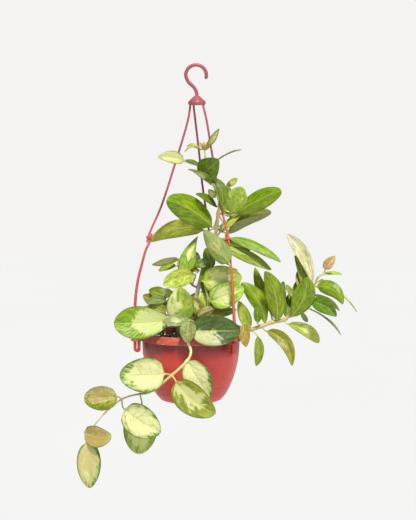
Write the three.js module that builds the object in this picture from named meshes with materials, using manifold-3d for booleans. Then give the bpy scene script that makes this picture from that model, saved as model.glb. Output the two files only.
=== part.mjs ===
// Hanging hoya in a red plastic pot. Millimetres, +Z up, front towards -Y.
// The origin is where the hanger's hook bears on whatever holds it up.
import * as THREE from 'three';
import { mergeVertices } from 'three/addons/utils/BufferGeometryUtils.js';
import Module from 'manifold-3d';

const wasm = await Module();
wasm.setup();

// Pot, moulded in one piece
const potX = -8;
const rimTopZ = -396;
const rimTopRadius = 73.5;
const rimSkirtRadius = 78;
const rimHeight = 11;
const potHeight = 103.5;
const potBaseRadius = 41;
const wallThickness = 2.2;
const rimChamfer = { width: 1, height: 1.5 };
const potSides = 32;
const ribCount = 5;
const ribPitch = 3.5;
const ribDepth = 0.9;
const lowestRibHeight = 7;
const plainAboveRibs = 2;

// Ears that the hanger's arms hook into
const earRadius = 86;
const earReach = 5.4;
const earWidth = 15;
const earThickness = 2;
const earRoot = 0.5;
const slotWidth = 8.6;
const slotLength = 4.6;
const earAngles = { left: -165, right: -42, back: 80 };

// Soil, with plain holes that the stems stand in
const soilDepthBelowRim = 10;
const soilCrown = 2.5;
const soilShoulder = { radiusShare: 0.55, heightShare: 0.8 };
const soilSides = 24;
const holeSides = 10;

// Hanger
const rodRadius = 1.6;
const rodFootRadius = 2.5;
const hookRodRadius = 2.6;
const hookInnerRadius = 13;
const hookEndTaper = 0.7;
const hookSweep = 1.12;
const hookSteps = 12;
const hookSides = 8;
const hubX = 1.2;
const hubRadius = 13;
const hubEdge = 1.5;
const hubRimHeight = 5;
const hubNeck = { radius: 7.8, down: 2 };
const hubTopZ = -45;
const hubBottomZ = -57;
const hubSides = 20;
const socketDepth = 6;
const socketSides = 12;
const armSides = 6;
const armSteps = 11;
const straightTop = 3;
const stripWidth = 7.8;
const stripThickness = 3.6;
const stripBottomZ = -424;
const stripTipInset = 6;
const stripRise = 10;
const stripCurveSegments = 5;
const linkZ = -254;
const linkOverlap = 7.5;
const studRadius = 1;
const studClearance = 0.4;
const studHeadRadius = 1.9;
const studHeadHeight = 1.4;
const studHeadTaper = 0.7;
const eyeletRadius = 2.7;
const studSides = 8;

// Stems and leaves
const stemSides = 6;
const bladeThickness = 1;
const stalkRadius = 1.1;
const stalkThickness = 1.76;
const stalkRoot = 0.4;
const thinnestTip = 0.6;
const foldAngle = 12;
const undersideEdges = [3, 4];
const leafStations = [
  { upTo: 25, at: [0, 0.35, 0.72, 1] },
  { upTo: 50, at: [0, 0.2, 0.5, 0.8, 1] },
  { upTo: Infinity, at: [0, 0.14, 0.36, 0.62, 0.86, 1] },
];

// Gap kept between pieces that touch, and how far merged faces may move
const gap = 0.3;
const faceTolerance = 0.05;

// Layout points are read on a plane through the plant's middle, square to the
// line of sight of an eye in front of it, each with its own depth y.
const sight = { x: 17.7, z: -288, distance: 2000, downward: radians(4.39) };

function seen([x, y, z]) {
  const level = Math.cos(sight.downward);
  const fall = Math.sin(sight.downward);
  const across = (x - sight.x) / sight.distance;
  const upward = (z - sight.z) / sight.distance;
  const reach = (y + sight.distance * level) / (level + upward * fall);
  const realZ = sight.z + sight.distance * fall + reach * (upward * level - fall);
  return new THREE.Vector3(sight.x + reach * across, y, realZ);
}

function plastic(color, roughness) {
  return new THREE.MeshStandardMaterial({ color, roughness, metalness: 0 });
}

const potRed = plastic(0xb8473c, 0.42);
const hangerRed = plastic(0xb8504a, 0.4);
const soilBrown = plastic(0x33261c, 0.95);
const leafGreen = plastic(0x86a63f, 0.45);
const vineCream = plastic(0xc9cf86, 0.45);

// Closed geometry to solid, and back
function solid(geometry) {
  const bare = geometry.clone();
  bare.deleteAttribute('normal');
  bare.deleteAttribute('uv');
  const merged = mergeVertices(bare, 1e-4);
  const vertProperties = new Float32Array(merged.attributes.position.array);
  const triVerts = new Uint32Array(merged.index.array);
  return new wasm.Manifold(new wasm.Mesh({ numProp: 3, vertProperties, triVerts }));
}

// Needless small faces are merged, and only the body itself is kept
function piece(name, body, material) {
  const bodies = body.asOriginal().simplify(faceTolerance).decompose();
  const [whole] = bodies.sort((a, b) => b.volume() - a.volume());
  const { vertProperties, triVerts } = whole.getMesh();
  const geometry = new THREE.BufferGeometry();
  geometry.setAttribute('position', new THREE.BufferAttribute(new Float32Array(vertProperties), 3));
  geometry.setIndex(new THREE.BufferAttribute(new Uint32Array(triVerts), 1));
  const mesh = new THREE.Mesh(geometry, material);
  mesh.name = name;
  return mesh;
}

function joined(bodies) {
  return bodies.reduce((whole, body) => whole.add(body));
}

function radians(degrees) {
  return THREE.MathUtils.degToRad(degrees);
}

function aroundPot(angle, radius, z) {
  const turn = radians(angle);
  return new THREE.Vector3(potX + radius * Math.cos(turn), radius * Math.sin(turn), z);
}

// Solid from rings of points that follow each other, with flat ends. Rings run
// clockwise seen from the start. Lower faces of a blade are split like its upper ones.
function ringSolid(rings, flippedEdges = []) {
  const count = rings[0].length;
  const points = rings.flat();
  const faces = [];
  for (let ring = 0; ring < rings.length - 1; ring += 1) {
    for (let edge = 0; edge < count; edge += 1) {
      const a = ring * count + edge;
      const b = ring * count + (edge + 1) % count;
      const c = b + count;
      const d = a + count;
      faces.push(...(flippedEdges.includes(edge) ? [a, b, d, b, c, d] : [a, b, c, a, c, d]));
    }
  }
  const last = (rings.length - 1) * count;
  for (let edge = 1; edge < count / 2; edge += 1) {
    const far = count - 1 - edge;
    const corners = [edge - 1, edge, far, far + 1];
    faces.push(corners[0], corners[2], corners[1], corners[0], corners[3], corners[2]);
    const ends = corners.map((corner) => corner + last);
    faces.push(ends[0], ends[1], ends[2], ends[0], ends[2], ends[3]);
  }
  const geometry = new THREE.BufferGeometry();
  geometry.setFromPoints(points);
  geometry.setIndex(faces);
  return solid(geometry);
}

// Round rod through points, its radius given at each. The sides count is even.
function rod(points, radii, sides) {
  const rings = [];
  let across = null;
  points.forEach((point, index) => {
    const before = points[Math.max(index - 1, 0)];
    const after = points[Math.min(index + 1, points.length - 1)];
    const along = after.clone().sub(before).normalize();
    if (across === null) {
      const helper = Math.abs(along.x) < 0.9 ? new THREE.Vector3(1, 0, 0) : new THREE.Vector3(0, 0, 1);
      across = helper;
    }
    across = across.clone().addScaledVector(along, -across.dot(along)).normalize();
    const other = along.clone().cross(across);
    const ring = [];
    for (let side = 0; side < sides; side += 1) {
      const turn = 2 * Math.PI * (side + 0.5) / sides;
      const corner = point.clone();
      corner.addScaledVector(across, radii[index] * Math.cos(turn));
      corner.addScaledVector(other, radii[index] * Math.sin(turn));
      ring.push(corner);
    }
    rings.push(ring);
  });
  return ringSolid(rings);
}

function lathe(profile, sides) {
  const points = profile.map(([radius, z]) => new THREE.Vector2(radius, z));
  const geometry = new THREE.LatheGeometry(points, sides);
  geometry.rotateX(Math.PI / 2);
  geometry.translate(potX, 0, 0);
  return solid(geometry);
}

function box(width, depth, height, centre, turn = 0) {
  const geometry = new THREE.BoxGeometry(width, depth, height);
  geometry.rotateZ(turn);
  geometry.translate(centre.x, centre.y, centre.z);
  return solid(geometry);
}

// Pot wall: radius at a height above the base, from the bowl's outline
const bowlOutline = [
  [0, potBaseRadius],
  [1.5, 45.5],
  [9, 52.5],
  [21, 58.5],
  [33, 63.8],
  [45, 67.5],
  [57, 70.3],
  [72, 72.6],
  [potHeight - rimHeight, 73.6],
];

function bowlRadius(height) {
  const above = bowlOutline.findIndex(([level]) => level >= height);
  const [levelB, radiusB] = bowlOutline[Math.max(above, 1)];
  const [levelA, radiusA] = bowlOutline[Math.max(above, 1) - 1];
  return radiusA + (radiusB - radiusA) * (height - levelA) / (levelB - levelA);
}

const potBaseZ = rimTopZ - potHeight;
const floorRadius = potBaseRadius + 1.5;
const floorLift = 1;
const soilTopZ = rimTopZ - soilDepthBelowRim;

function pot() {
  const [foot, shoulder] = bowlOutline.slice(0, 2).map(([level, radius]) => [radius, level]);
  const outer = [[0, 0], foot, shoulder];
  for (let rib = 0; rib < ribCount; rib += 1) {
    const height = lowestRibHeight + rib * ribPitch;
    outer.push([bowlRadius(height), height]);
    outer.push([bowlRadius(height) + ribDepth, height + ribPitch / 2]);
  }
  const ribsEnd = lowestRibHeight + ribCount * ribPitch;
  outer.push([bowlRadius(ribsEnd), ribsEnd]);
  bowlOutline.filter(([level]) => level > ribsEnd + plainAboveRibs).forEach(([level, radius]) => {
    outer.push([radius, level]);
  });
  outer.push([rimSkirtRadius, potHeight - rimHeight]);
  outer.push([rimTopRadius + rimChamfer.width, potHeight - rimChamfer.height]);
  outer.push([rimTopRadius, potHeight]);
  const inner = [[rimTopRadius - wallThickness, potHeight]];
  [...bowlOutline].reverse().slice(0, -2).forEach(([level, radius]) => {
    inner.push([radius - wallThickness, level + floorLift]);
  });
  inner.push([floorRadius, wallThickness], [0, wallThickness]);
  const profile = [...outer, ...inner].map(([radius, height]) => [radius, potBaseZ + height]);
  let body = lathe(profile, potSides);
  Object.values(earAngles).forEach((angle) => {
    const turn = radians(angle);
    const innerEnd = rimTopRadius - earRoot;
    const outerEnd = earRadius + earReach;
    const earZ = rimTopZ - rimHeight + earThickness / 2;
    const middle = aroundPot(angle, (innerEnd + outerEnd) / 2, earZ);
    const slot = aroundPot(angle, earRadius, earZ);
    body = body.add(box(outerEnd - innerEnd, earWidth, earThickness, middle, turn));
    body = body.subtract(box(slotLength, slotWidth, 3 * earThickness, slot, turn));
  });
  return body;
}

// Soil fills the bowl, and each stem stands in a plain hole in it
function soil(stemFeet) {
  const profile = [[0, potBaseZ + wallThickness + gap]];
  profile.push([potBaseRadius, potBaseZ + wallThickness + gap]);
  bowlOutline.slice(2).forEach(([level, radius]) => {
    const z = potBaseZ + level + floorLift;
    if (z < soilTopZ - soilCrown) {
      profile.push([radius - wallThickness - 2 * gap, z]);
    }
  });
  const edge = bowlRadius(soilTopZ - potBaseZ - floorLift) - wallThickness - 2 * gap;
  const { radiusShare, heightShare } = soilShoulder;
  profile.push([edge, soilTopZ], [edge * radiusShare, soilTopZ + soilCrown * heightShare]);
  profile.push([0, soilTopZ + soilCrown]);
  let body = lathe(profile, soilSides);
  stemFeet.forEach(({ foot, radius }) => {
    const bottom = foot.clone();
    bottom.z -= gap;
    const top = foot.clone();
    top.z = soilTopZ + 3 * soilCrown;
    const holeRadius = (radius + gap) / Math.cos(Math.PI / holeSides);
    body = body.subtract(rod([bottom, top], [holeRadius, holeRadius], holeSides));
  });
  return body;
}

// Hook, with the hub that the arms are pressed up into
const armTops = {
  left: new THREE.Vector3(-8.8, -1.5, hubBottomZ),
  right: new THREE.Vector3(11.6, -5.5, hubBottomZ),
  back: new THREE.Vector3(-3.6, 7.5, hubBottomZ),
};
const shaft = [[0, -3], [-0.6, 7], [-5, 15], [-12.5, 22]];

function hook() {
  const arch = hookInnerRadius + hookRodRadius;
  const points = shaft.map(([sideways, up]) => new THREE.Vector3(hubX + sideways, 0, hubTopZ + up));
  for (let step = 0; step <= hookSteps; step += 1) {
    const turn = Math.PI * (1 - hookSweep * step / hookSteps);
    const z = hookRodRadius - arch + arch * Math.sin(turn);
    points.push(new THREE.Vector3(arch * Math.cos(turn), 0, z));
  }
  const radii = points.map(() => hookRodRadius);
  radii[radii.length - 1] = hookRodRadius * hookEndTaper;
  const hubProfile = [[0, hubBottomZ], [hubRadius - hubEdge, hubBottomZ]];
  hubProfile.push([hubRadius, hubBottomZ + hubEdge]);
  hubProfile.push([hubRadius, hubBottomZ + hubRimHeight], [hubNeck.radius, hubTopZ - hubNeck.down]);
  hubProfile.push([hookRodRadius + hubEdge, hubTopZ + hubEdge], [0, hubTopZ + hubEdge]);
  const hubPoints = hubProfile.map(([radius, z]) => new THREE.Vector2(radius, z));
  const hubShape = new THREE.LatheGeometry(hubPoints, hubSides);
  hubShape.rotateX(Math.PI / 2);
  hubShape.translate(hubX, 0, 0);
  let body = solid(hubShape).add(rod(points, radii, hookSides));
  Object.values(armTops).forEach((place) => {
    const mouth = place.clone();
    mouth.z -= 1;
    const end = place.clone();
    end.z += socketDepth + gap;
    const radius = (rodRadius + gap) / Math.cos(Math.PI / socketSides);
    body = body.subtract(rod([mouth, end], [radius, radius], socketSides));
  });
  return body;
}

// Arms: each an upper and a lower length, linked side by side by a stud
const armPaths = {
  left: {
    upper: [[-12.3, -2.5, -78], [-31.8, -6.5, -144], [-52.8, -10.5, -208.5], [-66.3, -13, -242]],
    lower: [[-75.6, -15, -273], [-82.2, -16.5, -297], [-87, -18, -316.5], [-90.3, -19.2, -338],
      [-92, -20.4, -362], [-93.2, -21.6, -388]],
  },
  right: {
    upper: [[14.9, -7.5, -75], [23.4, -14.5, -126], [38.9, -28.5, -215], [44.5, -33, -242]],
    lower: [[50, -40, -276], [51.8, -43, -297], [53.6, -46.5, -316.5], [55, -50.5, -340.5],
      [56.3, -54, -364.5], [57.4, -57, -388]],
  },
  back: {
    upper: [[-0.9, 11, -82.5], [4.4, 21, -127.5], [8.9, 33, -172.5], [18.4, 51, -240]],
    lower: [[20.5, 58.5, -276], [19, 66, -310], [15, 73.5, -344], [10.5, 80, -372], [8.2, 83.8, -390]],
  },
};

function smooth(points, steps) {
  return new THREE.CatmullRomCurve3(points, false, 'centripetal').getPoints(steps);
}

function linkAt(side) {
  const { upper, lower } = armPaths[side];
  const above = seen(upper[upper.length - 1]);
  const below = seen(lower[0]);
  const down = below.clone().sub(above).normalize();
  const turn = radians(earAngles[side]);
  const outward = new THREE.Vector3(Math.cos(turn), Math.sin(turn), 0);
  outward.addScaledVector(down, -outward.dot(down)).normalize();
  const share = (linkZ - above.z) / (below.z - above.z);
  const centre = above.clone().lerp(below, share);
  return { centre, down, outward };
}

function upperArm(side) {
  const { centre, down, outward } = linkAt(side);
  const shift = rodRadius + gap / 2;
  const top = armTops[side].clone();
  const end = top.clone();
  end.z += socketDepth;
  const outer = (along) => centre.clone().addScaledVector(down, along).addScaledVector(outward, shift);
  const path = armPaths[side].upper.slice(0, -1).map(seen);
  top.z -= straightTop;
  const points = [end, ...smooth([top, ...path, outer(-linkOverlap), outer(linkOverlap)], armSteps)];
  const arm = rod(points, points.map(() => rodRadius), armSides);
  const faceA = outer(0).addScaledVector(outward, -rodRadius);
  const faceB = outer(0).addScaledVector(outward, rodRadius / 2);
  const eyelet = rod([faceA, faceB], [eyeletRadius, eyeletRadius], studSides);
  const before = outer(0).addScaledVector(outward, -2 * rodRadius);
  const after = outer(0).addScaledVector(outward, 2 * rodRadius);
  const holeRadius = studRadius + studClearance;
  const hole = rod([before, after], [holeRadius, holeRadius], studSides);
  return arm.add(eyelet).subtract(hole);
}

// The strip below the ear: down through the slot, round, and up under the ear
function stripEnd(side) {
  const bend = stripTipInset / 2;
  const inner = bend - stripThickness / 2;
  const outer = bend + stripThickness / 2;
  const bendZ = stripBottomZ + outer;
  const earTopZ = rimTopZ - rimHeight + earThickness;
  const tipZ = rimTopZ - rimHeight - gap;
  const outline = new THREE.Shape();
  outline.moveTo(outer, earTopZ + stripRise);
  outline.lineTo(outer, bendZ);
  outline.absarc(0, bendZ, outer, 0, -Math.PI, true);
  outline.lineTo(-outer, tipZ);
  outline.lineTo(-inner, tipZ);
  outline.lineTo(-inner, bendZ);
  outline.absarc(0, bendZ, inner, -Math.PI, 0, false);
  outline.lineTo(inner, earTopZ + stripRise);
  const settings = { depth: stripWidth, bevelEnabled: false, curveSegments: stripCurveSegments };
  const shape = new THREE.ExtrudeGeometry(outline, settings);
  shape.translate(-bend, 0, -stripWidth / 2);
  shape.rotateX(Math.PI / 2);
  shape.rotateZ(radians(earAngles[side]));
  const foot = aroundPot(earAngles[side], earRadius, 0);
  shape.translate(foot.x, foot.y, 0);
  return solid(shape);
}

function lowerArm(side) {
  const { centre, down, outward } = linkAt(side);
  const shift = -rodRadius - gap / 2;
  const inside = (along) => centre.clone().addScaledVector(down, along).addScaledVector(outward, shift);
  const footZ = rimTopZ - rimHeight + earThickness + stripRise - straightTop;
  const foot = aroundPot(earAngles[side], earRadius, footZ);
  const path = armPaths[side].lower.map(seen);
  const points = smooth([inside(-linkOverlap), inside(linkOverlap), ...path, foot], armSteps);
  const growth = (rodFootRadius - rodRadius) / (points.length - 1);
  const arm = rod(points, points.map((point, index) => rodRadius + growth * index), armSides);
  const faceA = inside(0).addScaledVector(outward, -rodRadius / 2);
  const faceB = inside(0).addScaledVector(outward, rodRadius);
  const pad = rod([faceA, faceB], [eyeletRadius, eyeletRadius], studSides);
  const outerFace = inside(0).addScaledVector(outward, 3 * rodRadius + 2 * gap);
  const headEnd = outerFace.clone().addScaledVector(outward, studHeadHeight);
  const shank = rod([inside(0), headEnd], [studRadius, studRadius], studSides);
  const head = rod([outerFace, headEnd], [studHeadRadius, studHeadRadius * studHeadTaper], studSides);
  return joined([arm, pad, shank, head, stripEnd(side)]);
}

// A leaf on its stalk, in one closed solid that starts inside the stem at its
// node. The face looks at the eye, then rolls about the midrib. Arch bows the
// midrib towards the face, sway bows it to the face's left. A low taper is a
// blunter leaf, and a high peak moves its widest place towards the tip.
function leaf(node, base, tip, wide, shape = {}) {
  const { roll = 0, arch = 2, sway = 0, fold = foldAngle, taper = 0.66, peak = 0.85 } = shape;
  const start = seen(base);
  const chord = seen(tip).sub(start);
  const along = chord.clone().normalize();
  const face = new THREE.Vector3(0, -1, 0);
  face.addScaledVector(along, -face.dot(along)).normalize();
  face.applyAxisAngle(along, radians(roll));
  const left = face.clone().cross(along);
  const stalk = start.clone().sub(node).normalize();
  const section = (centre, ahead, half, lift, skin) => {
    const up = face.clone().addScaledVector(ahead, -face.dot(ahead)).normalize();
    const across = up.clone().cross(ahead);
    const at = (sideways, upward) => {
      const point = centre.clone().addScaledVector(across, sideways);
      return point.addScaledVector(up, upward);
    };
    return [at(half, lift + skin), at(0, skin), at(-half, lift + skin),
      at(-half, lift - skin), at(0, -skin), at(half, lift - skin)];
  };
  const stations = leafStations.find(({ upTo }) => chord.length() < upTo).at;
  const rings = stations.map((t) => {
    const bow = 4 * t * (1 - t);
    const slope = 4 * (1 - 2 * t);
    const rib = start.clone().addScaledVector(chord, t);
    rib.addScaledVector(face, arch * bow).addScaledVector(left, sway * bow);
    const ahead = chord.clone().addScaledVector(face, arch * slope).addScaledVector(left, sway * slope);
    ahead.normalize();
    if (t === 0) {
      ahead.add(stalk).normalize();
      return section(rib, ahead, stalkRadius, 0, stalkThickness / 2);
    }
    const half = Math.max(wide / 2 * Math.sin(Math.PI * t ** peak) ** taper, thinnestTip);
    const spread = half * Math.cos(radians(fold));
    return section(rib, ahead, spread, half * Math.sin(radians(fold)), bladeThickness / 2);
  });
  const root = node.clone().addScaledVector(stalk, -stalkRoot);
  return ringSolid([section(root, stalk, stalkRadius, 0, stalkThickness / 2), ...rings], undersideEdges);
}

// A limb: a stem through its nodes, each [x, y, z, radius], with leaves
// [node, base, tip, width, shape], fused to it on their stalks
function limb({ path, leaves }) {
  const places = path.map(seen);
  const curve = smooth(places.slice(1), 2 * (path.length - 2));
  const points = [places[0], ...curve];
  const radii = points.map((point, index) => {
    const node = index === 0 ? 0 : 1 + (index - 1) * (path.length - 2) / (curve.length - 1);
    const low = Math.floor(node);
    const high = Math.min(low + 1, path.length - 1);
    return path[low][3] + (path[high][3] - path[low][3]) * (node - low);
  });
  const bodies = [rod(points, radii, stemSides)];
  leaves.forEach(([node, ...form]) => {
    bodies.push(leaf(places[node], ...form));
  });
  return joined(bodies);
}

// The tall stem in the middle, woody below, with a short shoot to its left
const tallStem = {
  path: [
    [-4, 6, -432, 3.3], [-4, 6, -402, 3.3], [-1, 4, -351, 3.2], [4, 2, -327, 3], [10, -2, -300, 2.4],
    [19, -5, -276, 2.1], [27, -7, -258, 2], [30.5, -8, -240, 2], [33, -8, -219, 1.9],
    [35, -10, -205, 1.8], [30, -13, -186, 1.6], [22, -16, -168, 1.5], [16, -18, -150, 1.4],
    [14, -20, -135, 1.2], [12.5, -20, -122, 1],
  ],
  leaves: [
    [14, [17, -20, -118], [34.6, -28, -90.5], 12, { roll: 35, arch: 3, sway: 2.5 }],
    [14, [6, -21, -122], [-17.5, -30, -126], 9, { roll: 70, arch: 6 }],
    [14, [5, -18, -121], [-14, -12, -117], 8, { roll: 40, arch: 4 }],
    [14, [12, -20, -122], [5, -23, -111], 5, {}],
    [14, [13, -20, -122], [11, -25, -110], 5, {}],
    [14, [14, -20, -122], [16, -22, -111], 5, { roll: 30 }],
    [14, [16, -20, -122], [22, -17, -111], 5, {}],
    [12, [-18, -30, -139.5], [-57.6, -56, -133.5], 19, { roll: 10, sway: -2.6 }],
    [12, [5, -20, -145], [-20, -28, -139.5], 10, { roll: 62 }],
    [13, [34, -24, -136.5], [68, -46, -122.7], 13, { roll: -86 }],
    [12, [7, -22, -162], [34, -48, -137], 36, { roll: -5 }],
    [11, [22, -17, -175], [-12.3, -48, -151.8], 24, { roll: 114, arch: 3 }],
    [11, [22, -30, -166], [37.5, -42, -209], 18, { roll: -20, sway: 8, arch: 3 }],
    [10, [44.7, -14, -178.5], [61.6, 12, -165.7], 10, {}],
    [9, [52, -15, -216], [69, -36, -178], 33, { peak: 1.2 }],
    [10, [28, -17, -194], [18.5, -21, -182], 11, {}],
    [9, [31, -12, -208], [-1, -38, -189], 20, { roll: 58 }],
    [9, [40, -4, -204], [50, 46, -190], 24, {}],
    [8, [24, -15, -239], [-44.5, -56, -198], 42,
      { roll: 12, fold: -20, arch: 4, sway: -6, taper: 0.48, peak: 1 }],
    [8, [60, -14, -219], [128, -50, -184], 31,
      { roll: -15, sway: 3, fold: -18, taper: 0.52, peak: 1.1 }],
    [8, [44.7, -6, -234], [113, 24, -217], 30, { roll: -128, taper: 0.5 }],
    [8, [38, 0, -218], [60, 50, -205], 26, {}],
    [7, [12, -8, -244], [-69.5, 16, -261], 28, { roll: 15, sway: -12, fold: -14 }],
    [7, [46, -2, -247.5], [90, 38, -229], 20, { roll: -108 }],
    [7, [39, -11, -246], [66, -14, -222], 10, { roll: -40 }],
    [6, [49, -14, -255], [127, -42, -291], 19, { roll: -38, sway: 6, fold: -14 }],
    [6, [38, -10, -262], [81, 20, -273], 22, { roll: -25 }],
    [6, [30, 0, -260], [40, 52, -268], 26, {}],
    [5, [42, -16, -269], [113, -26, -303], 20, { roll: -25, sway: 3, fold: -14 }],
    [5, [49.5, -52, -293], [11, -30, -244], 30, { roll: 172, arch: 0, peak: 0.75 }],
    [4, [22, -14, -291], [-6, -17, -297], 15, { roll: 20 }],
    [4, [4, 6, -291], [0.5, 6, -276], 8, {}],
  ],
};

const leftShoot = {
  path: [
    [5, 2, -330, 1.6], [2, 2, -330, 1.6], [-6, -4, -325, 1.5], [-14, -10, -316, 1.5],
    [-24, -16, -306, 1.4], [-27, -19, -294, 1.3], [-25, -20, -286, 1.1],
  ],
  leaves: [
    [6, [-26, -20, -288], [-66.6, -48, -295], 20, { roll: 128, arch: -1 }],
    [5, [-30, -20, -297], [-56.5, -6, -304], 15, { roll: 50 }],
    [3, [-14, -22, -306], [2.7, -6, -252], 27, { roll: -25, sway: 3, taper: 0.95, peak: 0.5 }],
    [3, [4, -14, -303], [-27, -20, -305], 15, { roll: 45 }],
    [2, [-2, -18, -310], [-49, -50, -325.5], 28, { roll: 8, arch: 3, sway: -2, taper: 0.5, peak: 1.15 }],
  ],
};

const centreStem = {
  path: [
    [14, -22, -440, 2.4], [14, -22, -405, 2.4], [16, -24, -372, 2.2], [18, -22, -350, 2],
    [14, -20, -330, 1.7], [11, -18, -318, 1.3],
  ],
  leaves: [
    [5, [9, -19, -320], [68.5, -26, -314], 42, { roll: -8, arch: 3, taper: 0.55 }],
    [3, [20, -28, -350], [71.7, -35, -330], 39, { roll: -8, arch: 4, taper: 0.55 }],
    [2, [27, -28, -361.5], [2, -34, -373.5], 18, { roll: 150 }],
    [2, [17, -27, -375], [46, -22, -364], 15, { roll: -60 }],
    [2, [12, -26, -368], [-14, -30, -343], 20, { roll: 20 }],
    [2, [15, -20, -366], [8, -10, -334], 19, {}],
  ],
};

const frontStem = {
  path: [
    [4, -46, -440, 1.8], [4, -46, -402, 1.8], [3, -57, -392, 1.7], [-1, -70, -390, 1.6],
  ],
  leaves: [
    [3, [-9, -84, -394.5], [66.5, -72, -394.5], 46, { roll: -12, taper: 0.52 }],
    [3, [-10.8, -79, -379.5], [-13.5, -89, -413], 24, { roll: 5 }],
    [2, [-9, -62, -378], [-51, -67, -382], 20, { roll: 30 }],
  ],
};

const leftStem = {
  path: [
    [-26, -28, -440, 2.2], [-26, -28, -402, 2.2], [-31, -36, -382, 2], [-35, -37, -362, 1.8],
    [-36, -33, -338, 1.5],
  ],
  leaves: [
    [2, [-38, -52, -378], [-123.5, -76, -382.5], 50,
      { roll: 14, arch: 3, sway: 2.5, taper: 0.52, peak: 1.35 }],
    [3, [-44, -46, -371], [-84, -52, -361], 20, { roll: 20 }],
    [3, [-44, -42, -364], [-73, -50, -357], 15, { roll: 15 }],
    [4, [-46, -38, -350], [-74, -60, -353], 15, { roll: 10, sway: -4 }],
    [4, [-36, -34, -335], [-61, -22, -352], 17, { roll: 20, sway: -3 }],
    [2, [-24.5, -45, -382], [-24, -46, -328.5], 42, { roll: 5, taper: 0.6 }],
  ],
};

// The woody branch that leans out over the rim to the right
const rightBranch = {
  path: [
    [22, -12, -432, 2.8], [22, -12, -404, 2.8], [42, -20, -386, 2.8], [80.7, -24, -392, 2.8],
    [98.7, -26, -387, 2.8], [115, -26, -381, 2.8], [133, -26, -377, 2.7], [143.7, -28, -364.5, 2.4],
    [157, -30, -349.5, 2.2], [170.7, -32, -335, 2], [178, -34, -324, 1.6],
    [182.7, -36, -314, 1.3], [192, -36, -307.5, 1],
  ],
  leaves: [
    [3, [80, -30, -391], [64, -26, -349.5], 19, {}],
    [3, [71, -33, -384], [74.7, -40, -418.5], 18, { roll: 10 }],
    [3, [92, -30, -402], [89.7, -12, -447], 15, { sway: 3.5 }],
    [4, [103.5, -24, -385.5], [67, -14, -322.5], 25, { sway: -9, peak: 1.25, fold: -14 }],
    [4, [92, -32, -382.5], [92.7, -26, -352.5], 13, {}],
    [4, [104.7, -31, -394.5], [143.7, -60, -447], 20, { sway: 13 }],
    [5, [111, -16, -366], [88, 10, -299], 17, { sway: 2 }],
    [5, [121, -30, -381], [103, -44, -304.5], 30, { sway: -7, peak: 0.95, fold: -14 }],
    [6, [137, -32, -384], [184, -14, -412.5], 19, { sway: 7, taper: 0.55, peak: 1.1 }],
    [6, [135, -21, -375], [141, 4, -337.5], 16, {}],
    [7, [141, -36, -374], [166, -56, -313.5], 34, { sway: -7, peak: 1.1, fold: -14 }],
    [8, [148, -24, -346], [135, -4, -325], 9, {}],
    [8, [156, -25, -333], [152, -6, -304.5], 10, {}],
    [8, [157, -27, -366], [167, -12, -381], 8, {}],
    [8, [172, -34, -362], [217, -60, -400.5], 14, { roll: -84, arch: 4 }],
    [9, [168, -28, -346], [147.5, -10, -280.5], 14, { sway: -3 }],
    [9, [174.5, -31, -340], [215, -8, -364.5], 15, { roll: -125, arch: 4 }],
    [9, [172, -40, -351], [210.5, -62, -372.8], 23, { sway: 5 }],
    [10, [174.5, -35, -326], [136, -14, -249], 20, { sway: -8, taper: 0.6, peak: 1.3 }],
    [10, [180, -38, -328], [220, -56, -354.8], 23, { sway: 10, peak: 0.7, fold: -14 }],
    [10, [190, -31, -318], [241, -14, -366], 14, { roll: -80, arch: 4 }],
    [12, [193.5, -37.5, -302.5], [209, -48, -282], 15, { sway: 2 }],
    [11, [191, -37, -309.5], [218.7, -26, -309.5], 9, { roll: -55 }],
  ],
};

// The long vine that trails over the front of the rim and out to the left
const trailingVine = {
  path: [
    [-12, -42, -440, 2], [-12, -42, -402, 2], [-12, -60, -395, 2], [-12, -75, -402, 2],
    [-12, -82, -412, 2], [-8, -85, -424, 2], [-9.3, -87, -432, 1.9], [-14.5, -88, -440, 1.9],
    [-24.3, -88, -450, 1.9], [-36.3, -86, -460.5, 1.8], [-54.3, -82, -475.5, 1.8],
    [-66.3, -79, -484.5, 1.6], [-75.3, -78, -488, 1.5], [-84.3, -77, -489, 1.4],
    [-99.3, -75, -492, 1.3], [-112, -74, -497, 1.3], [-121.8, -73, -504, 1.2],
    [-135.3, -72, -516, 1.1], [-148.8, -71, -531, 1], [-159.3, -70, -546, 0.9], [-164, -71, -557, 0.9],
  ],
  leaves: [
    [9, [-46.8, -82, -459], [-115, -102, -461.3], 52, { roll: 4, taper: 0.5 }],
    [7, [-14, -87, -438], [20, -82, -495], 40, {}],
    [9, [-31, -91, -469], [29, -102, -518.3], 45, { sway: -5.5, taper: 0.55 }],
    [15, [-117.3, -77, -493], [-168, -62, -496], 37, { taper: 0.5 }],
    [15, [-108.3, -82, -511.5], [-53.6, -98, -547.5], 48, { sway: -1, taper: 0.55 }],
    [13, [-81.3, -76, -505.5], [-85.8, -64, -579], 51, { taper: 0.55 }],
    [19, [-168, -73, -546], [-127, -90, -551], 34, { roll: 8, sway: -3, taper: 0.55 }],
    [20, [-161, -74, -559], [-160, -70, -630], 37, { taper: 0.6 }],
  ],
};

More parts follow.
